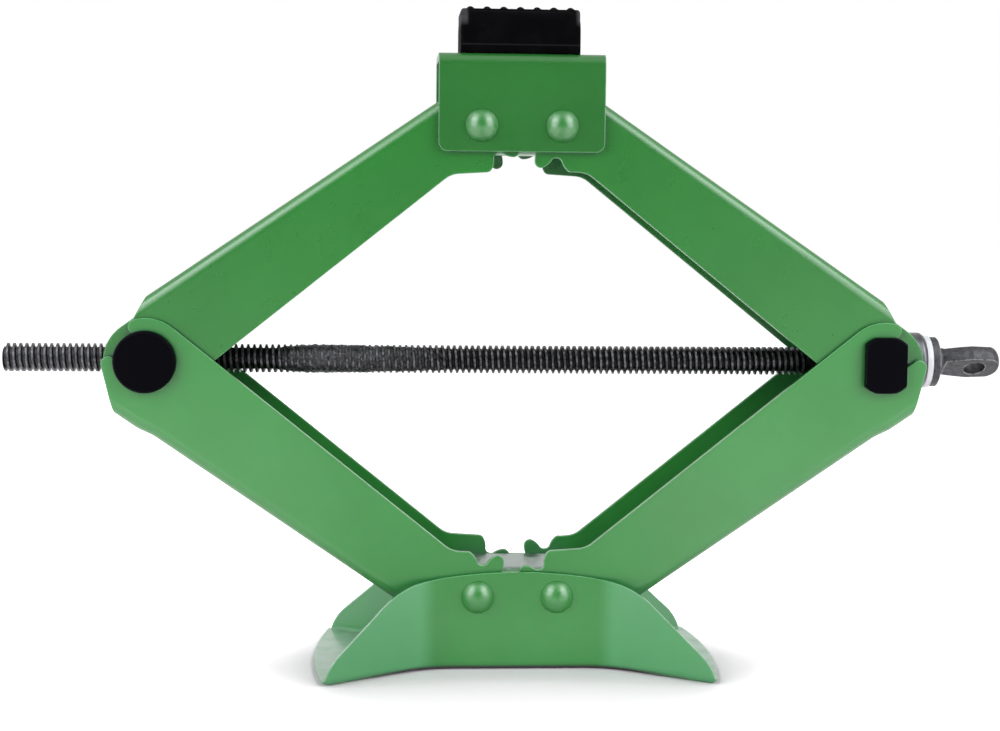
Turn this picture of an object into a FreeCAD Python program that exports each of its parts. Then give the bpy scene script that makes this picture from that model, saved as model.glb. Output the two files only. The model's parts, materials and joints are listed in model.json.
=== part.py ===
import FreeCAD, Part
import math
import os
import Sketcher

from FreeCAD import Placement, Rotation, Vector

# Scissor jack. Millimetres, +Z up, +X along the screw towards its eye, +Y to the back.
# The origin is on the ground under the middle of the foot.

doc = FreeCAD.newDocument("scissor_jack")
sheet = doc.addObject("Spreadsheet::Sheet", "Sizes")

driving_sizes = [
    ("arm_length", 198.0, "pivot to pivot on every arm"),
    ("rest_angle", 35.5, "arms above the horizontal, degrees"),
    ("pivot_spacing", 39.0, "between the two rivets of a pair, and between the gear centres"),
    ("base_pivot_height", 36.3, "base rivets above the ground"),
    ("arm_sheet", 2.5, "sheet of the arms"),
    ("lower_arm_width", 46.0, "lower arms over their flanges"),
    ("side_gap", 0.15, "between flat faces that slide past each other"),
    ("running_fit", 0.05, "radial clearance of a pin in its hole"),
    ("open_pivot_fit", 0.3, "radial clearance where the linkage is opened"),
    ("bend_radius", 6.0, "outer bend between web and flange of an arm"),
    ("web_stop", 20.0, "web ends this far before the rivet"),
    ("web_shoulder", 12.0, "web edge ends this far before the rivet on the flange"),
    ("lower_fork_radius", 21.0, "round of a lower arm's fork"),
    ("upper_fork_radius", 20.3, "round of an upper arm's fork"),
    ("fork_lip_round", 3.6, "rounded lips of a fork"),
    ("lower_web_start", 2.2, "lower arm's web begins here, from the trunnion"),
    ("lower_web_rise", 28.3, "lower arm's web face above the pivot line, at the trunnion"),
    ("lower_web_fall", 24.7, "the same at the rivet"),
    ("web_flare", 1.4, "lower arm's web steps out by this at its free end"),
    ("flare_start", 13.0, "the step is full here, from the trunnion"),
    ("flare_end", 26.0, "the step has gone here"),
    ("lower_end_slant", 41.0, "cut of a lower arm's free end, degrees"),
    ("upper_web_start", 18.0, "upper arm's web begins here, from the trunnion"),
    ("upper_web_rise", 25.9, "upper arm's web face above the pivot line, at the trunnion"),
    ("upper_web_fall", 21.2, "the same at the rivet"),
    ("upper_neck", 7.5, "upper arm's fork runs level to here before its web rises"),
    ("edge_stop", 26.0, "the inner edge's drop is measured this far before the rivet"),
    ("lower_edge_drop", 10.9, "inner edge of a lower arm below the pivot line, there"),
    ("upper_edge_drop", 10.9, "inner edge of an upper arm below the pivot line, there"),
    ("lead_slope", 32.0, "the inner edge runs into the first tooth at this slope, degrees"),
    ("lead_round", 12.0, "bend where that slope starts"),
    ("teeth_per_turn", 8, "gear teeth that a whole turn would hold"),
    ("teeth_cut", 4, "teeth on each arm end"),
    ("tooth_phase", -5.5, "last tooth of the first flange, degrees from the arm's line"),
    ("pressure_angle", 32.0, "of the gear flanks, degrees"),
    ("tooth_height", 3.2, "tooth tip outside the pitch circle"),
    ("tooth_depth", 4.1, "tooth root inside the pitch circle"),
    ("tooth_backlash", 0.3, "taken off a tooth at the pitch circle"),
    ("tooth_crown", 0.8, "rounding of a tooth tip"),
    ("plain_relief", 0.1, "plain round of an arm end inside the pitch circle"),
    ("rivet_radius", 5.0, "rivet shank"),
    ("rivet_head_radius", 8.0, "rivet dome"),
    ("rivet_head_height", 5.0, "rivet dome"),
    ("base_sheet", 2.5, "sheet of the foot"),
    ("base_bend", 1.5, "inner bend between floor and wall of the foot"),
    ("waist_half_length", 32.0, "parallel walls at the middle of the foot"),
    ("flare_radius", 40.0, "bend of the foot's walls, in plan"),
    ("flare_angle", 33.0, "flare of the foot's ends, degrees"),
    ("foot_tip", 94.5, "corners of the foot from its middle"),
    ("foot_bulge", 5.5, "round ends of the foot beyond its corners"),
    ("foot_corner_round", 2.8, "corners of the foot"),
    ("arch_height", 48.7, "top of the foot's walls above the ground"),
    ("arch_crown_half", 48.0, "half length of the gently curved wall top"),
    ("arch_crown_drop", 5.0, "fall of the wall top over that half"),
    ("arch_shoulder_radius", 34.0, "bend of the wall top"),
    ("arch_slope", 44.0, "straight slope of the wall top, degrees"),
    ("arch_slope_end", 14.0, "the slope ends at this height"),
    ("arch_tip_gap", 1.2, "wall top meets the floor this far inside the corners"),
    ("bracket_sheet", 3.0, "sheet of the top bracket"),
    ("bracket_length", 80.6, "top bracket along the jack"),
    ("bracket_drop", 12.6, "bracket's lower edge below the top rivets"),
    ("bracket_rise", 34.7, "bracket's top face above the top rivets"),
    ("bracket_bend", 2.7, "inner bend of the bracket"),
    ("bracket_corner_round", 4.5, "lower corners of the bracket"),
    ("pad_length", 58.0, "rubber pad along the jack"),
    ("pad_offset", -0.7, "rubber pad along the jack, from the bracket's middle"),
    ("pad_half_depth", 19.5, "rubber pad across the jack, half"),
    ("pad_height", 21.7, "rubber pad, without its ribs"),
    ("pad_shoulder", 8.0, "height of the pad's rounded long edges"),
    ("pad_inset", 4.0, "the rounded edges lean in by this"),
    ("rib_radius", 2.2, "ribs across the pad"),
    ("rib_height", 1.2, "ribs stand proud by this"),
    ("rib_spacing", 8.12, "between ribs"),
    ("rib_count", 7, "ribs on the pad"),
    ("spacer_sheet", 2.0, "sheet of the two spacer channels"),
    ("spacer_rise", 13.6, "spacer's web face from the rivets"),
    ("spacer_edge", 9.0, "spacer's edges beyond the rivets"),
    ("spacer_corner_round", 8.5, "corners of the spacer's edges"),
    ("journal_radius", 7.5, "trunnion journals in the forks"),
    ("nut_radius", 15.0, "cross nut's barrel and heads"),
    ("block_radius", 15.0, "thrust block's barrel"),
    ("block_head_radius", 14.6, "thrust block's heads"),
    ("block_head_flat", 10.1, "flats of those heads from the pivot"),
    ("block_head_top", 13.7, "flats above and below on those heads"),
    ("block_seat", 13.5, "bearing seat of the thrust block from the pivot"),
    ("trunnion_head", 4.5, "thickness of a trunnion head"),
    ("trunnion_gap", 0.25, "between trunnion shoulders and arm flanges"),
    ("trunnion_chamfer", 0.8, "edges of the trunnion heads"),
    ("screw_radius", 7.0, "over the thread"),
    ("shank_radius", 6.0, "plain shank of the screw"),
    ("tenon_radius", 4.0, "end of the shank, held in the eye"),
    ("tenon_length", 4.4, "the same"),
    ("screw_reach", 432.4, "screw's free end from the thrust block's pivot"),
    ("thread_stop", 34.3, "thread ends this far before the thrust block's pivot"),
    ("screw_chamfer", 0.6, "ends of the thread"),
    ("race_thickness", 3.3, "seat race of the thrust bearing"),
    ("race_radius", 13.3, "seat race outside"),
    ("race_bore", 7.0, "seat race inside"),
    ("ball_radius", 2.5, "bearing balls"),
    ("ball_circle", 10.0, "radius of the circle of balls"),
    ("ball_count", 9, "bearing balls"),
    ("ball_sink", 0.8, "depth of the ball grooves"),
    ("ball_fit", 0.1, "clearance of a ball in its grooves"),
    ("cage_thickness", 1.0, "ball cage"),
    ("cage_margin", 0.9, "cage beyond its pockets"),
    ("shroud_radius", 14.75, "outside of the bearing's shroud"),
    ("shroud_wall", 1.15, "skirt of the shroud"),
    ("shroud_round", 2.5, "outer edge of the shroud"),
    ("shroud_overlap", 0.8, "skirt reaches past the seat race's face by this"),
    ("bearing_end", 24.9, "outer face of the bearing from the thrust block's pivot"),
    ("washer_thickness", 2.8, "white washer"),
    ("washer_radius", 13.2, "white washer"),
    ("collar_thickness", 4.0, "collar of the eye"),
    ("collar_radius", 12.5, "collar of the eye"),
    ("neck_radius", 6.7, "neck behind the collar"),
    ("neck_run", 2.5, "from the collar to the thinnest place of the neck"),
    ("eye_radius", 9.2, "swell of the eye"),
    ("eye_hole_radius", 5.4, "hole for the crank's hook"),
    ("eye_hole_place", 51.7, "that hole from the thrust block's pivot"),
    ("eye_tip", 64.4, "tip of the eye from the thrust block's pivot"),
    ("eye_swell_lead", 2.0, "the swell is widest this far before the hole"),
    ("eye_taper", 0.6, "the eye is slimmer by this where its tip starts"),
    ("neck_flare", 1.2, "the neck is thicker by this at the collar"),
    ("neck_fall", 40.0, "slope of the neck where it leaves the collar, degrees"),
    ("neck_rise", 12.0, "slope of the neck where it swells to the eye, degrees"),
    ("flat_lead", 1.0, "the flats start this far behind the collar"),
    ("flat_runout", 2.0, "the flats are full this far behind the neck"),
    ("flat_fall", 60.0, "slope at the start of the flats, degrees"),
    ("eye_dome", 5.0, "length of the eye's rounded tip"),
    ("eye_tip_flat", 1.5, "radius of the flat on that tip"),
    ("eye_half_thickness", 4.0, "half the distance between the eye's flats"),
    ("eye_twist", -38.0, "turn of the eye about the screw at rest, degrees"),
]
for row, (alias, value, note) in enumerate(driving_sizes, start=1):
    sheet.set(f"A{row}", note)
    sheet.set(f"B{row}", str(value))
    sheet.setAlias(f"B{row}", alias)
doc.recompute()


def size(alias):
    return float(sheet.get(alias))


# Places that several pieces share
length = size("arm_length")
rest = math.radians(size("rest_angle"))
rivet_x = size("pivot_spacing") / 2
trunnion_x = rivet_x + length * math.cos(rest)
screw_z = size("base_pivot_height") + length * math.sin(rest)
top_z = screw_z + length * math.sin(rest)

# Half widths across the jack, from the screw's middle outwards
lower_outside = size("lower_arm_width") / 2
lower_inside = lower_outside - size("arm_sheet")
upper_outside = lower_inside - size("side_gap")
upper_inside = upper_outside - size("arm_sheet")
base_inside = lower_outside + size("side_gap")
base_outside = base_inside + size("base_sheet")
bracket_inside = upper_outside + size("side_gap")
bracket_outside = bracket_inside + size("bracket_sheet")

# The same places as expressions on the sheet
rivet_x_rule = "Sizes.pivot_spacing / 2"
trunnion_x_rule = "(Sizes.pivot_spacing / 2 + Sizes.arm_length * cos(Sizes.rest_angle * 1 deg))"
base_z_rule = "Sizes.base_pivot_height"
screw_z_rule = "(Sizes.base_pivot_height + Sizes.arm_length * sin(Sizes.rest_angle * 1 deg))"
top_z_rule = "(Sizes.base_pivot_height + 2 * Sizes.arm_length * sin(Sizes.rest_angle * 1 deg))"
lower_width_rule = "Sizes.lower_arm_width"
lower_gap_rule = "(Sizes.lower_arm_width - 2 * Sizes.arm_sheet)"
upper_width_rule = "(Sizes.lower_arm_width - 2 * Sizes.arm_sheet - 2 * Sizes.side_gap)"
upper_gap_rule = "(Sizes.lower_arm_width - 4 * Sizes.arm_sheet - 2 * Sizes.side_gap)"
far_rule = "10 * Sizes.lower_arm_width"

subparts = []


# Plane geometry

def polar(centre, radius, degrees):
    turn = math.radians(degrees)
    return (centre[0] + radius * math.cos(turn), centre[1] + radius * math.sin(turn))


def arc_about(centre, radius, start, end):
    # Middle and end of the arc from one angle to another, both in degrees
    return (polar(centre, radius, (start + end) / 2), polar(centre, radius, end))


def tangent_arc(start, heading, end):
    # Middle and end of the arc that leaves start along heading, in degrees
    across = end[0] - start[0]
    along = end[1] - start[1]
    chord = math.hypot(across, along)
    swing = math.degrees(math.atan2(along, across)) - heading
    swing = (swing + 180) % 360 - 180
    half = chord / (2 * math.cos(math.radians(swing / 2)))
    return (polar(start, half, heading + swing / 2), end)


def round_corner(before, corner, after, radius):
    # Start, middle and end of the arc that rounds a corner
    back = math.degrees(math.atan2(before[1] - corner[1], before[0] - corner[0]))
    ahead = math.degrees(math.atan2(after[1] - corner[1], after[0] - corner[0]))
    opening = (ahead - back + 180) % 360 - 180
    half = math.radians(abs(opening) / 2)
    run = radius / math.tan(half)
    middle = polar(corner, radius / math.sin(half) - radius, back + opening / 2)
    return (polar(corner, run, back), (middle, polar(corner, run, ahead)))


def vector(point):
    return Vector(point[0], point[1], 0)


def draw_outline(sketch, steps):
    # A step is a point, or the middle and end points of an arc
    here = steps[0]
    for step in steps[1:] + [steps[0]]:
        if isinstance(step[0], tuple):
            middle, end = step
            sketch.addGeometry(Part.Arc(vector(here), vector(middle), vector(end)), False)
        else:
            end = step
            if math.dist(here, end) > 1e-6:
                sketch.addGeometry(Part.LineSegment(vector(here), vector(end)), False)
        here = end


def draw_rectangle(sketch, low, high):
    draw_outline(sketch, [low, (high[0], low[1]), high, (low[0], high[1])])


def draw_circle(sketch, x_rule, y_rule, radius_rule):
    # A circle whose place and radius follow the sheet
    circle = sketch.addGeometry(Part.Circle(Vector(1, 1, 0), Vector(0, 0, 1), 1), False)
    centre = 3
    origin = -1
    rules = [("Radius", None, radius_rule), ("DistanceX", origin, x_rule), ("DistanceY", origin, y_rule)]
    for kind, reference, rule in rules:
        if reference is None:
            number = sketch.addConstraint(Sketcher.Constraint(kind, circle, 1))
        else:
            number = sketch.addConstraint(Sketcher.Constraint(kind, reference, 1, circle, centre, 1))
        sketch.setExpression(f"Constraints[{number}]", rule)


# Document objects

def new_body(label):
    body = doc.addObject("PartDesign::Body", label)
    body.Label = label
    subparts.append(body)
    return body


def new_sketch(body, name, role, lift=0.0):
    sketch = body.newObject("Sketcher::SketchObject", f"{body.Name}_{name}")
    plane = next(item for item in body.Origin.OriginFeatures if item.Role == role)
    sketch.AttachmentSupport = [(plane, "")]
    sketch.MapMode = "FlatFace"
    sketch.AttachmentOffset = Placement(Vector(0, 0, lift), Rotation())
    return sketch


def extrude(body, kind, sketch, length_rule, symmetric=True):
    feature = body.newObject(f"PartDesign::{kind}", f"{sketch.Name}_{kind.lower()}")
    feature.Profile = sketch
    feature.SideType = "Symmetric" if symmetric else "One side"
    feature.setExpression("Length", length_rule)
    doc.recompute()
    return feature


def cut(body, sketch, length_rule, symmetric=True, reverse=False):
    before = body.Shape.Volume
    feature = extrude(body, "Pocket", sketch, length_rule, symmetric)
    feature.Reversed = reverse
    doc.recompute()
    if not body.Shape.Volume < before - 1e-3:
        raise RuntimeError(f"{feature.Name} removes nothing")
    return feature


def revolve(body, sketch):
    feature = body.newObject("PartDesign::Revolution", f"{sketch.Name}_revolution")
    feature.Profile = sketch
    feature.ReferenceAxis = (sketch, ["H_Axis"])
    feature.Angle = 360
    doc.recompute()
    return feature


def round_edges(body, name, radius_rule, wanted):
    # Rounds the edges of the body whose end points and middle all pass the test
    base = body.Tip
    names = []
    for number, edge in enumerate(base.Shape.Edges, start=1):
        middle = edge.valueAt((edge.FirstParameter + edge.LastParameter) / 2)
        points = [vertex.Point for vertex in edge.Vertexes] + [middle]
        if all(wanted(point) for point in points):
            names.append(f"Edge{number}")
    if not names:
        raise RuntimeError(f"{body.Label}: no edges for {name}")
    feature = body.newObject("PartDesign::Fillet", f"{body.Name}_{name}")
    feature.Base = (base, names)
    feature.setExpression("Radius", radius_rule)
    doc.recompute()
    return feature


def place(piece, x_rule, z_rule, rotation=Rotation()):
    piece.Placement = Placement(Vector(0, 0, 0), rotation)
    piece.setExpression("Placement.Base.x", x_rule)
    piece.setExpression("Placement.Base.z", z_rule)


edge_slack = 0.01


def near(value, target):
    return abs(value - target) < edge_slack


# Arms. In an arm's own frame the trunnion is at the origin, +X runs to the rivet and +Z out to the web.

def involute(angle):
    return math.tan(angle) - angle


pitch_radius = size("pivot_spacing") / 2
tip_radius = pitch_radius + size("tooth_height")
root_radius = pitch_radius - size("tooth_depth")
gear_base_radius = pitch_radius * math.cos(math.radians(size("pressure_angle")))
tooth_pitch = 360 / size("teeth_per_turn")


def tooth_half_angle(radius):
    # Half the angle that a tooth fills at this radius, in degrees
    turn = math.acos(gear_base_radius / radius)
    half_width = math.pi * pitch_radius / size("teeth_per_turn") / 2 - size("tooth_backlash") / 2
    half = half_width / pitch_radius + involute(math.radians(size("pressure_angle"))) - involute(turn)
    return math.degrees(half)


def gear_steps(centre, last_tooth):
    # Toothed end of a flange, from the tip of the first tooth to the plain round after the last
    shoulder = tip_radius - size("tooth_crown")
    middle_radius = (gear_base_radius + shoulder) / 2
    at_base = tooth_half_angle(gear_base_radius)
    at_middle = tooth_half_angle(middle_radius)
    at_shoulder = tooth_half_angle(shoulder)
    steps = []
    teeth = int(size("teeth_cut"))
    for number in range(teeth):
        line = last_tooth - (teeth - 1 - number) * tooth_pitch
        apex = polar(centre, tip_radius, line)
        far_shoulder = polar(centre, shoulder, line + at_shoulder)
        if number > 0:
            space = line - tooth_pitch / 2
            steps.append((polar(centre, root_radius, space), polar(centre, gear_base_radius, line - at_base)))
            steps.append((polar(centre, middle_radius, line - at_middle),
                          polar(centre, shoulder, line - at_shoulder)))
            steps.append((apex, far_shoulder))
        else:
            steps += [apex, tangent_arc(apex, line + 90, far_shoulder)]
        steps.append((polar(centre, middle_radius, line + at_middle),
                      polar(centre, gear_base_radius, line + at_base)))
    plain_start = last_tooth + tooth_pitch - at_base
    plain_radius = pitch_radius - size("plain_relief")
    last_space = last_tooth + tooth_pitch / 2
    steps.append((polar(centre, root_radius, last_space), polar(centre, gear_base_radius, plain_start)))
    steps.append(polar(centre, plain_radius, plain_start))
    steps.append(arc_about(centre, plain_radius, plain_start, 90))
    return steps


def web_height(kind, x):
    rise = size(f"{kind}_web_rise")
    return rise + (size(f"{kind}_web_fall") - rise) * x / length


def web_steps(kind, inset, low_x, high_x):
    # Web line from beyond the rivet to beyond the free end, moved inwards by inset
    heading = math.degrees(math.atan2(web_height(kind, low_x) - web_height(kind, high_x), low_x - high_x))
    steps = [(high_x, web_height(kind, high_x) - inset)]
    flare = 0.0
    if kind == "lower":
        flare = size("web_flare")
        foot = (size("flare_end"), web_height(kind, size("flare_end")) - inset)
        top = (size("flare_start"), web_height(kind, size("flare_start")) + flare - inset)
        middle = ((foot[0] + top[0]) / 2, (foot[1] + top[1]) / 2)
        rising = tangent_arc(foot, heading, middle)
        back = tangent_arc(top, heading - 180, middle)
        steps += [foot, rising, (back[0], top)]
    steps.append((low_x, web_height(kind, low_x) + flare - inset))
    return steps


def fork_steps(kind, slot):
    # Round lip of the fork on the inner side, from the slot to where the straight edge starts
    radius = size(f"{kind}_fork_radius")
    lip = size("fork_lip_round")
    depth = slot + lip
    reach = math.sqrt((radius - lip) ** 2 - depth ** 2)
    lip_angle = math.degrees(math.atan2(depth, -reach))
    edge_end = (length - size("edge_stop"), -size(f"{kind}_edge_drop"))
    edge_angle = math.degrees(math.atan2(edge_end[1], edge_end[0]))
    touch = edge_angle - math.degrees(math.acos(radius / math.hypot(*edge_end)))
    lip_arc = arc_about((-reach, -depth), lip, 90, 360 - lip_angle)
    return [(-reach, -slot), lip_arc, arc_about((0, 0), radius, -lip_angle, touch), edge_end]


def arm_outline(kind, last_tooth):
    slot = size("journal_radius") + size("running_fit")
    radius = size(f"{kind}_fork_radius")
    rivet = (length, 0.0)
    fork = fork_steps(kind, slot)
    edge_end = fork[-1]
    touch = fork[-2][1]
    gear = gear_steps(rivet, last_tooth)
    apex = gear[0]

    # The inner edge bends to a slope that ends on the first tooth's tip
    edge_slope = (edge_end[1] - touch[1]) / (edge_end[0] - touch[0])
    lead_slope = -math.tan(math.radians(size("lead_slope")))
    bend_x = (apex[1] - touch[1] - lead_slope * apex[0] + edge_slope * touch[0]) / (edge_slope - lead_slope)
    bend = (bend_x, touch[1] + edge_slope * (bend_x - touch[0]))
    bend_start, bend_arc = round_corner(touch, bend, apex, size("lead_round"))
    steps = [(0.0, -slot)] + fork[:-1] + [bend_start, bend_arc] + gear

    # Over the web the outline stays clear above the sheet
    clear = 2 * radius
    plain_end = gear[-1][1]
    shoulder_x = length - size("web_shoulder")
    shoulder = (shoulder_x, web_height(kind, shoulder_x))
    clear_x = shoulder_x - size("web_shoulder")
    clear_z = plain_end[1] + 2 * (shoulder[1] - plain_end[1])
    steps += [(clear_x, clear_z), (clear_x, clear)]
    corner_x = size(f"{kind}_web_start")
    if kind == "lower":
        corner_z = web_height(kind, corner_x) + size("web_flare")
        slope = math.tan(math.radians(size("lower_end_slant")))
        above_corner = (corner_x + (clear - corner_z) / slope, clear)
        lip_corner = (corner_x - (corner_z - slot) / slope, slot)
        lip_start, lip_arc = round_corner(above_corner, lip_corner, (0.0, slot), size("fork_lip_round"))
        steps += [above_corner, lip_start, lip_arc]
    else:
        neck = (size("upper_neck"), radius)
        slope = (web_height(kind, corner_x) - radius) / (corner_x - neck[0])
        above_corner = (neck[0] + (clear - radius) / slope, clear)
        inner_lip = fork_steps(kind, slot)
        lip_middle, lip_end = inner_lip[1]
        lip_angle = -math.degrees(math.atan2(lip_end[1], lip_end[0]))
        steps += [above_corner, neck, (0.0, radius), arc_about((0, 0), radius, 90, lip_angle)]
        steps.append(((lip_middle[0], -lip_middle[1]), (inner_lip[0][0], slot)))
    steps.append((0.0, slot))
    steps.append(((slot, 0.0), (0.0, -slot)))
    return steps


def make_arm(label, kind, width_rule, gap_rule, half_width, rivet_fit):
    # A bent channel, longer than the arm, is cut to the outline of one flange and then of the other
    body = new_body(label)
    past = 3 * size("lower_fork_radius")
    blank_low = -past
    blank_high = length + past
    blank = new_sketch(body, "blank", "XZ_Plane")
    draw_outline(blank, [(blank_low, -past), (blank_high, -past)]
                 + web_steps(kind, 0.0, blank_low, blank_high))
    extrude(body, "Pad", blank, width_rule)

    def on_bend(point):
        return near(abs(point.y), half_width) and point.z > 0

    round_edges(body, "bends", "Sizes.bend_radius", on_bend)

    hollow_low = blank_low - past
    hollow_high = blank_high + past
    hollow = new_sketch(body, "hollow", "XZ_Plane")
    draw_outline(hollow, [(hollow_low, -2 * past), (hollow_high, -2 * past)]
                 + web_steps(kind, size("arm_sheet"), hollow_low, hollow_high))
    cut(body, hollow, gap_rule)
    inner_half = half_width - size("arm_sheet")

    def on_inner_bend(point):
        return near(abs(point.y), inner_half) and point.z > 0

    round_edges(body, "inner_bends", "Sizes.bend_radius - Sizes.arm_sheet", on_inner_bend)

    web_end = new_sketch(body, "web_end", "XY_Plane")
    web_half = half_width - size("bend_radius")
    draw_rectangle(web_end, (length - size("web_stop"), -web_half), (hollow_high, web_half))
    cut(body, web_end, far_rule)

    for name, last_tooth, reverse in flange_list:
        flange = new_sketch(body, name, "XZ_Plane")
        draw_rectangle(flange, (hollow_low, -2 * past), (hollow_high, 2 * past))
        draw_outline(flange, arm_outline(kind, last_tooth))
        cut(body, flange, far_rule, symmetric=False, reverse=reverse)

    hole = new_sketch(body, "rivet_hole", "XZ_Plane")
    draw_circle(hole, "Sizes.arm_length", "0", f"Sizes.rivet_radius + {rivet_fit}")
    cut(body, hole, far_rule)
    return body


# The two flanges of an arm are half a tooth apart, so two arms of one shape mesh face to face
flange_list = [
    ("first_flange", size("tooth_phase"), False),
    ("second_flange", size("tooth_phase") + tooth_pitch / 2, True),
]


def arm_rotation(side, level):
    # side is -1 for left and +1 for right, level is -1 for lower and +1 for upper
    along = Vector(-side * math.cos(rest), 0, level * math.sin(rest))
    outward = Vector(side * math.sin(rest), 0, level * math.cos(rest))
    return Rotation(along, outward.cross(along), outward)


arm_list = [
    ("lower_left_arm", "lower", -1, -1, "Sizes.running_fit"),
    ("lower_right_arm", "lower", 1, -1, "Sizes.running_fit"),
    ("upper_left_arm", "upper", -1, 1, "Sizes.running_fit"),
    ("upper_right_arm", "upper", 1, 1, "Sizes.open_pivot_fit"),
]
for label, kind, side, level, rivet_fit in arm_list:
    if kind == "lower":
        arm = make_arm(label, kind, lower_width_rule, lower_gap_rule, lower_outside, rivet_fit)
    else:
        arm = make_arm(label, kind, upper_width_rule, upper_gap_rule, upper_outside, rivet_fit)
    place(arm, f"{side} * {trunnion_x_rule}", screw_z_rule, arm_rotation(side, level))


# Foot: an hourglass tray with two arched walls

def wall_plan(offset, end_x):
    # One wall line from the waist's middle to its end, offset inwards from the outer face
    waist = base_outside - offset
    turn = math.radians(size("flare_angle"))
    centre = (size("waist_half_length"), base_outside + size("flare_radius"))
    radius = size("flare_radius") + offset
    bend_start = (size("waist_half_length"), waist)
    bend = arc_about(centre, radius, -90, -90 + size("flare_angle"))
    rise = (end_x - bend[1][0]) * math.tan(turn)
    return [bend_start, bend, (end_x, bend[1][1] + rise)]


def mirrored(steps, x_sign, y_sign):
    def flip(point):
        return (x_sign * point[0], y_sign * point[1])

    return [tuple(flip(part) for part in step) if isinstance(step[0], tuple) else flip(step)
            for step in steps]


def backwards(steps):
    # The same run of points and arcs from its end to its start
    ends = [step[1] if isinstance(step[0], tuple) else step for step in steps]
    turned = [ends[-1]]
    for number in range(len(steps) - 1, 0, -1):
        step = steps[number]
        if isinstance(step[0], tuple):
            turned.append((step[0], ends[number - 1]))
        else:
            turned.append(ends[number - 1])
    return turned


def foot_plan(offset, end_x, bulge):
    quarter = wall_plan(offset, end_x)
    corner = quarter[-1]
    steps = mirrored(quarter, 1, -1)
    steps.append(((end_x + bulge, 0.0), corner) if bulge > 0 else corner)
    steps += backwards(quarter)[1:]
    steps += mirrored(quarter, -1, 1)
    left_corner = (-end_x, -corner[1])
    steps.append(((-end_x - bulge, 0.0), left_corner) if bulge > 0 else left_corner)
    steps += mirrored(backwards(quarter), -1, -1)[1:]
    return steps


foot = new_body("base_plate")
plan = new_sketch(foot, "plan", "XY_Plane")
draw_outline(plan, foot_plan(0.0, size("foot_tip"), size("foot_bulge")))
extrude(foot, "Pad", plan, "Sizes.arch_height + Sizes.base_sheet", symmetric=False)


def on_foot_edge(point):
    return near(point.z, 0) and abs(point.y) > base_outside - edge_slack


def on_foot_corner(point):
    return near(abs(point.x), size("foot_tip")) and abs(point.y) > base_outside


round_edges(foot, "corners", "Sizes.foot_corner_round", on_foot_corner)
round_edges(foot, "floor_bends", "Sizes.base_bend + Sizes.base_sheet", on_foot_edge)

tray = new_sketch(foot, "tray", "XY_Plane", size("base_sheet"))
draw_outline(tray, foot_plan(size("base_sheet"), 2 * size("foot_tip"), 0.0))
cut(foot, tray, "2 * Sizes.arch_height", symmetric=False, reverse=True)


def on_tray_edge(point):
    on_floor = near(point.z, size("base_sheet")) and abs(point.x) < size("foot_tip")
    return on_floor and abs(point.y) > base_inside - edge_slack


round_edges(foot, "tray_bends", "Sizes.base_bend", on_tray_edge)


def arch_half():
    # Wall top from the crown's end down to the floor, on the right
    half = size("arch_crown_half")
    drop = size("arch_crown_drop")
    crown_radius = (half ** 2 + drop ** 2) / (2 * drop)
    start_tilt = math.degrees(math.asin(half / crown_radius))
    crown_end = (half, size("arch_height") - drop)
    shoulder = size("arch_shoulder_radius")
    centre = polar(crown_end, shoulder, -90 - start_tilt)
    bend = arc_about(centre, shoulder, 90 - start_tilt, 90 - size("arch_slope"))
    fall = bend[1][1] - size("arch_slope_end")
    slope_end = (bend[1][0] + fall / math.tan(math.radians(size("arch_slope"))), size("arch_slope_end"))
    tip = (size("foot_tip") - size("arch_tip_gap"), size("base_sheet"))
    return [crown_end, bend, slope_end, tangent_arc(slope_end, -size("arch_slope"), tip)]


right_half = arch_half()
far = 2 * size("foot_tip")
above = 2 * size("arch_height")
arch_steps = [(far, size("base_sheet")), (far, above), (-far, above), (-far, size("base_sheet"))]
arch_steps += backwards(mirrored(right_half, -1, 1))
arch_steps.append(((0.0, size("arch_height")), right_half[0]))
arch_steps += right_half[1:]
arch = new_sketch(foot, "arch", "XZ_Plane")
draw_outline(arch, arch_steps)
cut(foot, arch, far_rule)

holes = new_sketch(foot, "rivet_holes", "XZ_Plane")
for sign in (-1, 1):
    draw_circle(holes, f"{sign} * {rivet_x_rule}", base_z_rule, "Sizes.rivet_radius + Sizes.running_fit")
cut(foot, holes, far_rule)


# Top bracket and spacers: channels bent from sheet, drawn in section and cut to length

def make_channel(label, half_width, top, bottom, sheet_thickness, half_length, length_rule):
    body = new_body(label)
    section = new_sketch(body, "section", "YZ_Plane")
    inside = half_width - sheet_thickness
    draw_outline(section, [
        (-half_width, bottom), (-half_width, top), (half_width, top), (half_width, bottom),
        (inside, bottom), (inside, top - sheet_thickness),
        (-inside, top - sheet_thickness), (-inside, bottom)])
    extrude(body, "Pad", section, length_rule)
    holes = new_sketch(body, "rivet_holes", "XZ_Plane")
    for sign in (-1, 1):
        draw_circle(holes, f"{sign} * {rivet_x_rule}", "0", "Sizes.rivet_radius + Sizes.running_fit")
    cut(body, holes, far_rule)

    def on_corner(point):
        return near(abs(point.x), half_length) and near(point.z, bottom)

    def on_outer_bend(point):
        return near(abs(point.y), half_width) and near(point.z, top)

    def on_inner_bend(point):
        return near(abs(point.y), inside) and near(point.z, top - sheet_thickness)

    return body, on_corner, on_outer_bend, on_inner_bend


bracket, on_corner, on_outer, on_inner = make_channel(
    "top_bracket", bracket_outside, size("bracket_rise"), -size("bracket_drop"),
    size("bracket_sheet"), size("bracket_length") / 2, "Sizes.bracket_length")
round_edges(bracket, "corners", "Sizes.bracket_corner_round", on_corner)
round_edges(bracket, "bends", "Sizes.bracket_bend + Sizes.bracket_sheet", on_outer)
round_edges(bracket, "inner_bends", "Sizes.bracket_bend", on_inner)
place(bracket, "0", top_z_rule)

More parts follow.
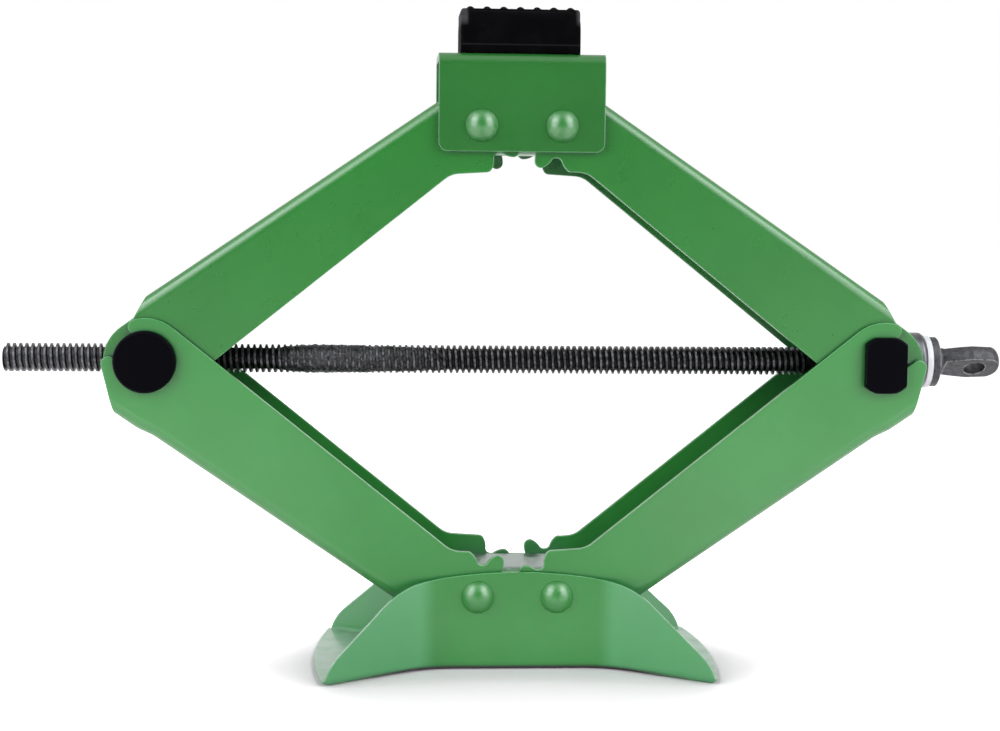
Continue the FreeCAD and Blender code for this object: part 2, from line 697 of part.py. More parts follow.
spacer_half = rivet_x + size("spacer_edge")
spacer_rule = "Sizes.pivot_spacing + 2 * Sizes.spacer_edge"
spacer_list = [
    ("base_spacer", lower_inside - size("side_gap"), base_z_rule, 0),
    ("top_spacer", upper_inside - size("side_gap"), top_z_rule, 180),
]
for label, half_width, z_rule, turn in spacer_list:
    spacer, on_corner, on_outer, on_inner = make_channel(
        label, half_width, size("spacer_rise"), -size("spacer_edge"),
        size("spacer_sheet"), spacer_half, spacer_rule)
    round_edges(spacer, "corners", "Sizes.spacer_corner_round", on_corner)
    round_edges(spacer, "bends", "2 * Sizes.spacer_sheet", on_outer)
    round_edges(spacer, "inner_bends", "Sizes.spacer_sheet", on_inner)
    place(spacer, "0", z_rule, Rotation(Vector(1, 0, 0), turn))


# Rubber pad with ribs across its top

pad = new_body("saddle_pad")
pad_section = new_sketch(pad, "section", "YZ_Plane")
pad_half = size("pad_half_depth")
pad_top = size("pad_height")
pad_side = pad_top - size("pad_shoulder")
pad_ledge = pad_half - size("pad_inset")
pad_right = tangent_arc((pad_half, pad_side), 90, (pad_ledge, pad_top))
pad_left = tangent_arc((-pad_half, pad_side), 90, (-pad_ledge, pad_top))
draw_outline(pad_section, [
    (-pad_half, 0.0), (pad_half, 0.0), (pad_half, pad_side), pad_right, (-pad_ledge, pad_top),
    (pad_left[0], (-pad_half, pad_side))])
extrude(pad, "Pad", pad_section, "Sizes.pad_length")
ribs = new_sketch(pad, "ribs", "XZ_Plane")
rib_total = int(size("rib_count"))
for number in range(rib_total):
    rib_x = f"{number - (rib_total - 1) / 2} * Sizes.rib_spacing"
    draw_circle(ribs, rib_x, "Sizes.pad_height + Sizes.rib_height - Sizes.rib_radius", "Sizes.rib_radius")
extrude(pad, "Pad", ribs, "2 * (Sizes.pad_half_depth - Sizes.pad_inset)")
place(pad, "Sizes.pad_offset", f"{top_z_rule} + Sizes.bracket_rise")


# Rivets: a shank with a dome at each end, turned about the cross axis

def make_rivet(label, grip, x_rule, z_rule):
    body = new_body(label)
    section = new_sketch(body, "section", "YZ_Plane")
    shank = size("rivet_radius")
    head = size("rivet_head_radius")
    end = grip + size("rivet_head_height")
    left_dome = tangent_arc((-end, 0.0), 90, (-grip, head))
    right_dome = tangent_arc((end, 0.0), 90, (grip, head))
    draw_outline(section, [
        (-end, 0.0), left_dome, (-grip, shank), (grip, shank), (grip, head),
        (right_dome[0], (end, 0.0))])
    revolve(body, section)
    place(body, x_rule, z_rule)


for side_name, sign in (("left", -1), ("right", 1)):
    make_rivet(f"base_rivet_{side_name}", base_outside, f"{sign} * {rivet_x_rule}", base_z_rule)
    make_rivet(f"top_rivet_{side_name}", bracket_outside, f"{sign} * {rivet_x_rule}", top_z_rule)


# Trunnions: barrel, two journals in the forks, two heads outside them

def make_trunnion(label, barrel, head, bore_rule):
    body = new_body(label)
    section = new_sketch(body, "section", "YZ_Plane")
    journal = size("journal_radius")
    shoulder = upper_inside - size("trunnion_gap")
    head_start = lower_outside + size("trunnion_gap")
    head_end = head_start + size("trunnion_head")
    bevel = size("trunnion_chamfer")
    half = [(head_end, 0.0), (head_end, head - bevel), (head_end - bevel, head), (head_start, head),
            (head_start, journal), (shoulder, journal), (shoulder, barrel)]
    draw_outline(section, half + [(-x, y) for x, y in reversed(half)])
    revolve(body, section)
    bore = new_sketch(body, "bore", "YZ_Plane")
    draw_circle(bore, "0", "0", bore_rule)
    cut(body, bore, far_rule)
    return body, shoulder, head_start


nut, _, _ = make_trunnion("trunnion_nut", size("nut_radius"), size("nut_radius"),
                          "Sizes.screw_radius + Sizes.running_fit")
place(nut, f"-1 * {trunnion_x_rule}", screw_z_rule)

block, shoulder_y, head_start_y = make_trunnion(
    "thrust_trunnion", size("block_radius"), size("block_head_radius"),
    "Sizes.shank_radius + Sizes.running_fit")
flats = new_sketch(block, "flats", "XY_Plane")
beyond = 2 * size("block_radius")
seat_half = (shoulder_y + head_start_y) / 2
for sign in (-1, 1):
    outer = sorted((sign * head_start_y, sign * beyond))
    draw_rectangle(flats, (size("block_head_flat"), outer[0]), (beyond, outer[1]))
    draw_rectangle(flats, (-beyond, outer[0]), (-size("block_head_flat"), outer[1]))
draw_rectangle(flats, (size("block_seat"), -seat_half), (beyond, seat_half))
cut(block, flats, far_rule)
top_flats = new_sketch(block, "top_flats", "YZ_Plane")
head_top = size("block_head_top")
for sign in (-1, 1):
    outer = sorted((sign * head_start_y, sign * beyond))
    draw_rectangle(top_flats, (outer[0], head_top), (outer[1], beyond))
    draw_rectangle(top_flats, (outer[0], -beyond), (outer[1], -head_top))
cut(block, top_flats, far_rule)
place(block, trunnion_x_rule, screw_z_rule)


# Pieces turned about the screw, drawn from the thrust block's pivot

def make_turned(label, steps, rotation=Rotation()):
    body = new_body(label)
    section = new_sketch(body, "section", "XZ_Plane")
    draw_outline(section, steps)
    revolve(body, section)
    place(body, trunnion_x_rule, screw_z_rule, rotation)
    return body


free_end = -size("screw_reach")
thread_end = -size("thread_stop")
bearing_end = size("bearing_end")
washer_end = bearing_end + size("washer_thickness")
tenon_end = washer_end + size("tenon_length")
bevel = size("screw_chamfer")
make_turned("lead_screw", [
    (free_end, 0.0), (free_end, size("screw_radius") - bevel), (free_end + bevel, size("screw_radius")),
    (thread_end - bevel, size("screw_radius")), (thread_end, size("screw_radius") - bevel),
    (thread_end, size("shank_radius")), (washer_end, size("shank_radius")),
    (washer_end, size("tenon_radius")), (tenon_end, size("tenon_radius")), (tenon_end, 0.0)])

# Thrust bearing: seat race, balls in a cage, and a shrouded race that turns with the screw
seat = size("block_seat")
race_face = seat + size("race_thickness")
ball_x = race_face + size("ball_radius") - size("ball_sink") + size("ball_fit")
shroud_face = ball_x + size("ball_radius") - size("ball_sink") + size("ball_fit")
groove = size("ball_radius") + size("ball_fit")
groove_half = math.sqrt(groove ** 2 - (ball_x - race_face) ** 2)
ball_ring = size("ball_circle")
make_turned("bearing_seat_race", [
    (seat, size("race_bore")), (race_face, size("race_bore")), (race_face, ball_ring - groove_half),
    ((ball_x - groove, ball_ring), (race_face, ball_ring + groove_half)),
    (race_face, size("race_radius")), (seat, size("race_radius"))])
skirt = size("shroud_radius") - size("shroud_wall")
shroud_bore = size("shank_radius") + size("running_fit")
shroud_corner = (bearing_end, size("shroud_radius"))
skirt_edge = (race_face - size("shroud_overlap"), size("shroud_radius"))
shroud_lip = (bearing_end, shroud_bore)
round_start, round_arc = round_corner(shroud_lip, shroud_corner, skirt_edge, size("shroud_round"))
make_turned("bearing_shroud", [
    (shroud_face, shroud_bore), shroud_lip, round_start, round_arc, skirt_edge,
    (race_face - size("shroud_overlap"), skirt), (shroud_face, skirt),
    (shroud_face, ball_ring + groove_half),
    ((ball_x + groove, ball_ring), (shroud_face, ball_ring - groove_half))])

ball_total = int(size("ball_count"))
balls = []
for number in range(ball_total):
    ball = doc.addObject("Part::Sphere", f"ball_{number}")
    ball.setExpression("Radius", "Sizes.ball_radius")
    y, z = polar((0.0, 0.0), ball_ring, number * 360 / ball_total)
    ball.Placement = Placement(Vector(ball_x, y, z), Rotation())
    balls.append(ball)
ball_set = doc.addObject("Part::Compound", "bearing_balls")
ball_set.Label = "bearing_balls"
ball_set.Links = balls
place(ball_set, trunnion_x_rule, screw_z_rule)
subparts.append(ball_set)

cage = new_body("bearing_cage")
ring = new_sketch(cage, "ring", "YZ_Plane", ball_x)
pocket_rule = "(Sizes.ball_radius + Sizes.ball_fit)"
for direction in ("+", "-"):
    draw_circle(ring, "0", "0", f"Sizes.ball_circle {direction} ({pocket_rule} + Sizes.cage_margin)")
extrude(cage, "Pad", ring, "Sizes.cage_thickness")
pockets = new_sketch(cage, "pockets", "YZ_Plane", ball_x)
for number in range(ball_total):
    angle = number * 360 / ball_total
    draw_circle(pockets, f"Sizes.ball_circle * cos({angle} deg)", f"Sizes.ball_circle * sin({angle} deg)",
                pocket_rule)
cut(cage, pockets, "2 * Sizes.cage_thickness")
place(cage, trunnion_x_rule, screw_z_rule)

washer_bore = size("shank_radius") + size("running_fit")
make_turned("nylon_washer", [
    (bearing_end, washer_bore), (washer_end, washer_bore),
    (washer_end, size("washer_radius")), (bearing_end, size("washer_radius"))])

# Eye: a collar, a neck and a swelling bar with two flats, turned a little at rest
collar_end = washer_end + size("collar_thickness")
neck_end = collar_end + size("neck_run")
swell_x = size("eye_hole_place") - size("eye_swell_lead")
tip = size("eye_tip")
dome_start = (tip - size("eye_dome"), size("eye_radius") - size("eye_taper"))
dome_end = (tip, size("eye_tip_flat"))
dome = tangent_arc(dome_end, 90, dome_start)
neck_root = (collar_end, size("neck_radius") + size("neck_flare"))
neck = (neck_end, size("neck_radius"))
eye = make_turned("screw_eye", [
    (tenon_end, 0.0), (tenon_end, size("tenon_radius")), (washer_end, size("tenon_radius")),
    (washer_end, size("collar_radius")), (collar_end, size("collar_radius")),
    neck_root, tangent_arc(neck_root, -size("neck_fall"), neck),
    tangent_arc(neck, size("neck_rise"), (swell_x, size("eye_radius"))),
    dome_start, (dome[0], dome_end), (tip, 0.0)],
    Rotation(Vector(1, 0, 0), size("eye_twist")))
eye_flats = new_sketch(eye, "flats", "XZ_Plane")
flat = size("eye_half_thickness")
flat_start = collar_end + size("flat_lead")
flat_full = neck_end + size("flat_runout")
past_tip = 2 * tip
for sign in (-1, 1):
    steps = [(flat_start, 2 * size("eye_radius")), (flat_start, size("eye_radius")),
             tangent_arc((flat_start, size("eye_radius")), -size("flat_fall"), (flat_full, flat)),
             (past_tip, flat), (past_tip, 2 * size("eye_radius"))]
    draw_outline(eye_flats, mirrored(steps, 1, sign))
cut(eye, eye_flats, far_rule)
eye_hole = new_sketch(eye, "hole", "XY_Plane")
draw_circle(eye_hole, "Sizes.eye_hole_place", "0", "Sizes.eye_hole_radius")
cut(eye, eye_hole, far_rule)


# Every object has to be sound before anything is written
doc.recompute()
for item in doc.Objects:
    if "Invalid" in item.State or "Error" in item.State:
        raise RuntimeError(f"{item.Name} is {item.State}")
for piece in subparts:
    shape = piece.Shape
    if shape.isNull() or not shape.isValid():
        raise RuntimeError(f"{piece.Label} has no valid shape")

os.makedirs("parts", exist_ok=True)
for piece in subparts:
    piece.Shape.exportStep(f"parts/{piece.Label}.step")
    box = piece.Shape.BoundBox
    print(f"{piece.Label}: {len(piece.Shape.Solids)} solids, {piece.Shape.Volume:.0f} mm3, "
          f"X {box.XMin:.1f} to {box.XMax:.1f}, Z {box.ZMin:.1f} to {box.ZMax:.1f}")
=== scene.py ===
import json
import math

import bmesh
import bpy
from mathutils import Matrix, Vector, noise


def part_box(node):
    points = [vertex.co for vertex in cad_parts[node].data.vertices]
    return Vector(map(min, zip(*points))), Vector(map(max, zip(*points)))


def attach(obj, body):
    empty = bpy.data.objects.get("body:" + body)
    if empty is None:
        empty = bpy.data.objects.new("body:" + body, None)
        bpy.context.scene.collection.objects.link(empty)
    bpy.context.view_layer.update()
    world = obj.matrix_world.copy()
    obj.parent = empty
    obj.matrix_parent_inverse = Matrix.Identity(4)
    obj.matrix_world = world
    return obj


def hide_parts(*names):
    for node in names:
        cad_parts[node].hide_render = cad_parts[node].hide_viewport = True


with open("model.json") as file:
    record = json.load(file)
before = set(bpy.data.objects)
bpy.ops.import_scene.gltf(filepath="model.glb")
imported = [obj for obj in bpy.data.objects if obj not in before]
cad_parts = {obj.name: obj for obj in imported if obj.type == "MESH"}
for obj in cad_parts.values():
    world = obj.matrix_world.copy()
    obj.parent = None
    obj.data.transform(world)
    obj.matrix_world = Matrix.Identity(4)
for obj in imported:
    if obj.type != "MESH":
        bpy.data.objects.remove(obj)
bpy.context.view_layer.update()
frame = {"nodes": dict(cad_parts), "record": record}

nodes = frame["nodes"]
mm = 0.001  # metres in a millimetre, the unit of the pieces' sizes
bevelSamples = 6  # rays for each rounded edge


def toLinear(hexCode):
    channels = []
    for start in (1, 3, 5):
        value = int(hexCode[start:start + 2], 16) / 255
        channels.append(value / 12.92 if value <= 0.04045 else ((value + 0.055) / 1.055) ** 2.4)
    return (*channels, 1.0)


def addNode(tree, kind, values=None, links=None, stops=(), **settings):
    # Values and links go by socket, and stops are the places and colours of a colour ramp
    node = tree.nodes.new(kind)
    for name, setting in settings.items():
        setattr(node, name, setting)
    for socket, value in (values or {}).items():
        node.inputs[socket].default_value = value
    for socket, source in (links or {}).items():
        tree.links.new(source, node.inputs[socket])
    for number, (place, hexCode) in enumerate(stops):
        elements = node.color_ramp.elements
        if number == len(elements):
            elements.new(place)
        elements[number].position = place
        elements[number].color = toLinear(hexCode)
    return node


def startMaterial(name):
    material = bpy.data.materials.new(name)
    material.use_nodes = True
    tree = material.node_tree
    tree.nodes.clear()
    surface = addNode(tree, "ShaderNodeBsdfPrincipled")
    addNode(tree, "ShaderNodeOutputMaterial", links={"Surface": surface.outputs["BSDF"]})
    place = addNode(tree, "ShaderNodeTexCoord").outputs["Object"]
    return material, tree, surface, place


def perMetre(featureMm):
    return 1000 / featureMm  # texture scale that gives one feature every so many millimetres


def softEdges(tree, look):
    # Rounded normals near sharp edges, and a mask that is 1 on those edges and 0 on open faces
    bevel = addNode(tree, "ShaderNodeBevel", {"Radius": look["edgeMm"] * mm}, samples=bevelSamples)
    rounded = bevel.outputs["Normal"]
    flat = addNode(tree, "ShaderNodeNewGeometry").outputs["Normal"]
    match = addNode(tree, "ShaderNodeVectorMath", links={0: rounded, 1: flat}, operation="DOT_PRODUCT")
    start, full = look["edgeFrom"]
    mask = addNode(tree, "ShaderNodeMapRange", {"From Min": start, "From Max": full},
                   {"Value": match.outputs["Value"]})
    return rounded, mask.outputs["Result"]


def finishSurface(tree, surface, look, glossPattern, relief=None, normal=None):
    # Roughness that follows one pattern, and a fine relief that follows another, over the rounded normals
    smooth, rough = look["roughness"]
    gloss = addNode(tree, "ShaderNodeMapRange", {"To Min": smooth, "To Max": rough}, {"Value": glossPattern})
    tree.links.new(gloss.outputs["Result"], surface.inputs["Roughness"])
    if relief:
        links = {"Height": relief}
        if normal:
            links["Normal"] = normal
        strength, depthMm = look["relief"]
        bump = addNode(tree, "ShaderNodeBump", {"Strength": strength, "Distance": depthMm * mm}, links)
        normal = bump.outputs["Normal"]
    if normal:
        tree.links.new(normal, surface.inputs["Normal"])


# In the dictionaries of materials, a pair named From is where an effect starts and where it is full,
# a pair for roughness is the smoothest and the roughest, and relief is a strength and a depth in millimetres

# Powder-coated steel: sprayed dry and baked, so it has an even green with a fine orange peel,
# a soft gloss, and a paler line along the cut edges of the sheet
paint = {
    "cloudMm": 60.0,
    "cloudFrom": (0.35, 0.65),
    "patchMm": 9.0,
    "patchFrom": (0.2, 0.5),
    "edge": "#80cb8e",
    "edgeMm": 0.9,
    "edgeFrom": (0.985, 0.9),
    # painted shade inside channels: its colour, how far it looks for cover, and where it starts and is full
    "paintedRecessShade": "#356449",
    "recessMm": 45.0,
    "recessFrom": (0.72, 0.3),
    "recessSamples": 8,
    "roughness": (0.2, 0.27),
    "peelMm": 1.5,
    "relief": (0.04, 0.06),
}
coats = {  # edge: how pale the edges get, paintedRecessShade: how much painted shade darkens a channel inside, dulling: added roughness
    "greenPowderCoatedSteel": {
        "color": "#399241", "shade": "#348a3b", "edge": 0.8, "paintedRecessShade": 0.85, "dulling": 0.0, "specular": 0.75,
    },
    "greenPowderCoatedFoot": {
        "color": "#399241", "shade": "#348a3b", "edge": 0.8, "paintedRecessShade": 0.15, "dulling": 0.0, "specular": 0.75,
    },
    # painted shade: a darker copy of the green for the upper arms
    "greenPowderCoatedUpperArm": {
        "color": "#25802c", "shade": "#217828", "edge": 0.8, "paintedRecessShade": 0.85, "dulling": 0.05, "specular": 0.8,
    },
    # painted shade: a darker copy of the green for the bracket, highest up
    "shadedGreenPowderCoatedSteel": {
        "color": "#2c7730", "shade": "#276f2b", "edge": 0.6, "paintedRecessShade": 0.7, "dulling": 0.0, "specular": 0.75,
    },
    "greenPowderCoatedRivet": {
        "color": "#399241", "shade": "#348a3b", "edge": 0.0, "paintedRecessShade": 0.0, "dulling": 0.06, "specular": 1.1,
    },
    # painted shade: a darker copy of the green for the top rivets
    "shadedGreenPowderCoatedRivet": {
        "color": "#2f8537", "shade": "#2a7d32", "edge": 0.0, "paintedRecessShade": 0.0, "dulling": 0.06, "specular": 1.1,
    },
}
footDustAndPaintedLight = {  # distances are from the middle of the foot, and heights from the ground
    "wall": "#8ce1b0",
    "wallShare": 0.2,
    "wallFromMm": (39.0, 49.0),
    "dustAndSheen": "#cfdcd5",
    "dustAndSheenShare": 0.55,
    "dustAndSheenFromMm": (58.0, 78.0),
    "dustAndSheenTilt": (0.6, 0.9),
    "driftMm": 14.0,
    "driftFrom": (0.3, 0.6),
    "driftLeast": 0.55,
    "contactShadow": "#0d0d0f",
    "contactShadowTopMm": (2.8, 1.12),
    "contactShadowHalfMm": (84.0, 58.0),
}


def addWallSheen(tree, aside, color):
    # Painted sheen: the outer walls are paler from their bends out to the ends
    start, full = footDustAndPaintedLight["wallFromMm"]
    wall = addNode(tree, "ShaderNodeMapRange",
                   {"From Min": start * mm, "From Max": full * mm, "To Max": footDustAndPaintedLight["wallShare"]},
                   {"Value": aside}, interpolation_type="SMOOTHSTEP")
    walled = addNode(tree, "ShaderNodeMix", {7: toLinear(footDustAndPaintedLight["wall"])},
                     {0: wall.outputs["Result"], 6: color}, data_type="RGBA")
    return walled.outputs[2]


def addTrayDustAndSheen(tree, place, aside, color):
    # Dust and a painted sheen lie where the foot faces up, in drifts towards its ends
    facing = addNode(tree, "ShaderNodeTexCoord")
    upward = addNode(tree, "ShaderNodeSeparateXYZ", links={0: facing.outputs["Normal"]})
    start, full = footDustAndPaintedLight["dustAndSheenTilt"]
    level = addNode(tree, "ShaderNodeMapRange",
                    {"From Min": start, "From Max": full, "To Max": footDustAndPaintedLight["dustAndSheenShare"]},
                    {"Value": upward.outputs["Z"]})
    start, full = footDustAndPaintedLight["dustAndSheenFromMm"]
    ends = addNode(tree, "ShaderNodeMapRange", {"From Min": start * mm, "From Max": full * mm},
                   {"Value": aside}, interpolation_type="SMOOTHSTEP")
    drift = addNode(tree, "ShaderNodeTexNoise", {"Scale": perMetre(footDustAndPaintedLight["driftMm"]), "Detail": 4.0},
                    {"Vector": place})
    start, full = footDustAndPaintedLight["driftFrom"]
    drifts = addNode(tree, "ShaderNodeMapRange",
                     {"From Min": start, "From Max": full, "To Min": footDustAndPaintedLight["driftLeast"]},
                     {"Value": drift.outputs["Fac"]})
    settled = addNode(tree, "ShaderNodeMath", links={0: level.outputs["Result"], 1: ends.outputs["Result"]},
                      operation="MULTIPLY")
    dustAndSheenAmount = addNode(tree, "ShaderNodeMath", links={0: settled.outputs["Value"], 1: drifts.outputs["Result"]},
                    operation="MULTIPLY")
    withDustAndSheen = addNode(tree, "ShaderNodeMix", {7: toLinear(footDustAndPaintedLight["dustAndSheen"])},
                     {0: dustAndSheenAmount.outputs["Value"], 6: color}, data_type="RGBA")
    return withDustAndSheen.outputs[2]


def addContactShadow(tree, height, aside, color):
    # Painted contact shadow: dark along the lower edge of the middle of the foot, where it meets the ground
    start, full = footDustAndPaintedLight["contactShadowTopMm"]
    low = addNode(tree, "ShaderNodeMapRange", {"From Min": start * mm, "From Max": full * mm},
                  {"Value": height})
    start, full = footDustAndPaintedLight["contactShadowHalfMm"]
    middle = addNode(tree, "ShaderNodeMapRange", {"From Min": start * mm, "From Max": full * mm},
                     {"Value": aside})
    shadowShare = addNode(tree, "ShaderNodeMath", links={0: low.outputs["Result"], 1: middle.outputs["Result"]},
                    operation="MULTIPLY")
    withContactShadow = addNode(tree, "ShaderNodeMix", {7: toLinear(footDustAndPaintedLight["contactShadow"])},
                     {0: shadowShare.outputs["Value"], 6: color}, data_type="RGBA")
    return withContactShadow.outputs[2]


def addFootDustAndPaintedLight(tree, place, color):
    # A painted sheen on the outer walls, dust with a painted sheen in the ends of the tray, and a painted
    # contact shadow along the lower edge
    spot = addNode(tree, "ShaderNodeSeparateXYZ", links={0: place})
    fromMiddle = addNode(tree, "ShaderNodeMath", links={0: spot.outputs["X"]}, operation="ABSOLUTE")
    aside = fromMiddle.outputs["Value"]
    walled = addWallSheen(tree, aside, color)
    withDustAndSheen = addTrayDustAndSheen(tree, place, aside, walled)
    return addContactShadow(tree, spot.outputs["Z"], aside, withDustAndSheen)


def addPaleEdges(tree, coat, edges, patch, color):
    # Paler along the edges, in some patches more than in others
    start, full = paint["patchFrom"]
    patches = addNode(tree, "ShaderNodeMapRange",
                      {"From Min": start, "From Max": full, "To Max": coat["edge"]},
                      {"Value": patch})
    edgePaleShare = addNode(tree, "ShaderNodeMath", links={0: edges, 1: patches.outputs["Result"]},
                   operation="MULTIPLY")
    edged = addNode(tree, "ShaderNodeMix", {7: toLinear(paint["edge"])},
                    {0: edgePaleShare.outputs["Value"], 6: color}, data_type="RGBA")
    return edged.outputs[2]


def addRecessShade(tree, coat, color):
    # Painted shade: the less open a place is, the darker its green, as inside a channel
    openness = addNode(tree, "ShaderNodeAmbientOcclusion", {"Distance": paint["recessMm"] * mm},
                      samples=paint["recessSamples"])
    start, full = paint["recessFrom"]
    recessShadeShare = addNode(tree, "ShaderNodeMapRange",
                   {"From Min": start, "From Max": full, "To Max": coat["paintedRecessShade"]},
                   {"Value": openness.outputs["AO"]})
    recessShaded = addNode(tree, "ShaderNodeMix", {7: toLinear(paint["paintedRecessShade"])},
                   {0: recessShadeShare.outputs["Result"], 6: color}, data_type="RGBA")
    return recessShaded.outputs[2]


def makePowderCoat(name):
    coat = coats[name]
    material, tree, surface, place = startMaterial(name)
    rounded, edges = softEdges(tree, paint)
    cloud = addNode(tree, "ShaderNodeTexNoise", {"Scale": perMetre(paint["cloudMm"]), "Detail": 4.0},
                    {"Vector": place})
    start, full = paint["cloudFrom"]
    tint = addNode(tree, "ShaderNodeValToRGB", links={"Fac": cloud.outputs["Fac"]},
                   stops=[(start, coat["shade"]), (full, coat["color"])])
    patch = addNode(tree, "ShaderNodeTexNoise", {"Scale": perMetre(paint["patchMm"]), "Detail": 3.0},
                    {"Vector": place})
    edged = addPaleEdges(tree, coat, edges, patch.outputs["Fac"], tint.outputs["Color"])
    color = addRecessShade(tree, coat, edged)
    if name == "greenPowderCoatedFoot":
        color = addFootDustAndPaintedLight(tree, place, color)
    tree.links.new(color, surface.inputs["Base Color"])
    surface.inputs["Specular IOR Level"].default_value = coat["specular"]
    peel = addNode(tree, "ShaderNodeTexNoise", {"Scale": perMetre(paint["peelMm"]), "Detail": 2.0},
                   {"Vector": place})
    look = {
        "roughness": [value + coat["dulling"] for value in paint["roughness"]],
        "relief": paint["relief"],
    }
    finishSurface(tree, surface, look, patch.outputs["Fac"], peel.outputs["Fac"], rounded)
    return material


def fromScrewLine(tree, place):
    # Distance from the screw's line
    offset = addNode(tree, "ShaderNodeVectorMath", {1: (0.0, 0.0, screwAxisZ)}, {0: place},
                     operation="SUBTRACT")
    across = addNode(tree, "ShaderNodeVectorMath", {1: (0.0, 1.0, 1.0)}, {0: offset.outputs["Vector"]},
                     operation="MULTIPLY")
    radius = addNode(tree, "ShaderNodeVectorMath", links={0: across.outputs["Vector"]}, operation="LENGTH")
    return radius.outputs["Value"]


# Black-oxided forging: a thin black conversion layer that swallows light, with a faint turned grain
blackCap = {
    "color": "#0b0b0f",
    "worn": "#232327",
    "wornShare": 0.6,
    "grainMm": 0.7,
    "edgeMm": 0.5,
    "edgeFrom": (0.985, 0.8),
    "roughness": (0.42, 0.62),
    "relief": (0.2, 0.05),
}


def makeBlackCap():
    material, tree, surface, place = startMaterial("blackOxidedForging")
    rounded, edges = softEdges(tree, blackCap)
    grain = addNode(tree, "ShaderNodeTexNoise", {"Scale": perMetre(blackCap["grainMm"]), "Detail": 3.0},
                    {"Vector": place})
    edgePaleShare = addNode(tree, "ShaderNodeMath", {1: blackCap["wornShare"]}, {0: edges}, operation="MULTIPLY")
    tint = addNode(tree, "ShaderNodeMix", {6: toLinear(blackCap["color"]), 7: toLinear(blackCap["worn"])},
                   {0: edgePaleShare.outputs["Value"]}, data_type="RGBA")
    tree.links.new(tint.outputs[2], surface.inputs["Base Color"])
    surface.inputs["Metallic"].default_value = 1.0
    finishSurface(tree, surface, blackCap, grain.outputs["Fac"], grain.outputs["Fac"], rounded)
    return material


# Rolled and blackened thread: oily black in the grooves, rubbed to grey on the free end, and grey towards the
# crests, partly wear and partly painted highlight with painted glints
threadSteel = {
    "groove": "#171719",
    "worn": "#38383a",
    "wornFromMm": (-192.0, -212.0),
    "crest": "#6c6c6e",
    "crestFromMm": (5.9, 7.0),
    "scuffMm": 1.8,
    "scuffFrom": (0.42, 0.6),
    "scuffLeast": 0.22,
    "metallic": 0.8,
    "roughness": (0.3, 0.55),
    "relief": (0.3, 0.1),
}


def makeThreadSteel():
    material, tree, surface, place = startMaterial("oiledThreadSteel")
    # grey towards the crests in spots: wear, and a painted highlight with painted glints
    start, full = threadSteel["crestFromMm"]
    crest = addNode(tree, "ShaderNodeMapRange", {"From Min": start * mm, "From Max": full * mm},
                    {"Value": fromScrewLine(tree, place)})
    scuff = addNode(tree, "ShaderNodeTexNoise", {"Scale": perMetre(threadSteel["scuffMm"]), "Detail": 5.0},
                    {"Vector": place})
    start, full = threadSteel["scuffFrom"]
    scuffsAndGlints = addNode(tree, "ShaderNodeMapRange",
                     {"From Min": start, "From Max": full, "To Min": threadSteel["scuffLeast"]},
                     {"Value": scuff.outputs["Fac"]})
    wearAndPaintedHighlight = addNode(tree, "ShaderNodeMath", links={0: crest.outputs["Result"], 1: scuffsAndGlints.outputs["Result"]},
                     operation="MULTIPLY")
    along = addNode(tree, "ShaderNodeSeparateXYZ", links={0: place})
    start, full = threadSteel["wornFromMm"]
    wiped = addNode(tree, "ShaderNodeMapRange", {"From Min": start * mm, "From Max": full * mm},
                    {"Value": along.outputs["X"]})
    groove = addNode(tree, "ShaderNodeMix",
                     {6: toLinear(threadSteel["groove"]), 7: toLinear(threadSteel["worn"])},
                     {0: wiped.outputs["Result"]}, data_type="RGBA")
    tint = addNode(tree, "ShaderNodeMix", {7: toLinear(threadSteel["crest"])},
                   {0: wearAndPaintedHighlight.outputs["Value"], 6: groove.outputs[2]}, data_type="RGBA")
    tree.links.new(tint.outputs[2], surface.inputs["Base Color"])
    surface.inputs["Metallic"].default_value = threadSteel["metallic"]
    finishSurface(tree, surface, threadSteel, scuff.outputs["Fac"], scuff.outputs["Fac"])
    return material


# Used grease: dark, gritty and matt, with painted glints on its lumps
grease = {
    # the lightest stop is a painted glint
    "tint": ((0.44, "#0a0a0b"), (0.58, "#2c2c2e"), (0.7, "#868688")),
    "gritMm": 1.2,
    "gritRoughness": 0.7,
    "roughness": 0.45,
    "relief": (1.0, 0.5),
}


def makeGrease():
    material, tree, surface, place = startMaterial("grittyGrease")
    grit = addNode(tree, "ShaderNodeTexNoise",
                   {"Scale": perMetre(grease["gritMm"]), "Detail": 6.0, "Roughness": grease["gritRoughness"]},
                   {"Vector": place})
    tint = addNode(tree, "ShaderNodeValToRGB", links={"Fac": grit.outputs["Fac"]}, stops=grease["tint"])
    tree.links.new(tint.outputs["Color"], surface.inputs["Base Color"])
    surface.inputs["Roughness"].default_value = grease["roughness"]
    strength, depthMm = grease["relief"]
    bump = addNode(tree, "ShaderNodeBump", {"Strength": strength, "Distance": depthMm * mm},
                   {"Height": grit.outputs["Fac"]})
    tree.links.new(bump.outputs["Normal"], surface.inputs["Normal"])
    return material


# Drop-forged steel with a grey phosphate: a dull scaly grey, paler on its ridges, partly rubbed by the crank
# hook and partly painted highlight
forging = {
    "tint": ((0.35, "#38383a"), (0.65, "#4e4e50")),
    "ridge": "#b9b9b6",
    "ridgeShare": 0.9,
    "rubFrom": (0.3, 0.6),
    "scaleMm": 2.4,
    "edgeMm": 1.1,
    "edgeFrom": (0.985, 0.8),
    "metallic": 0.8,
    "roughness": (0.4, 0.6),
    "relief": (0.6, 0.2),
}


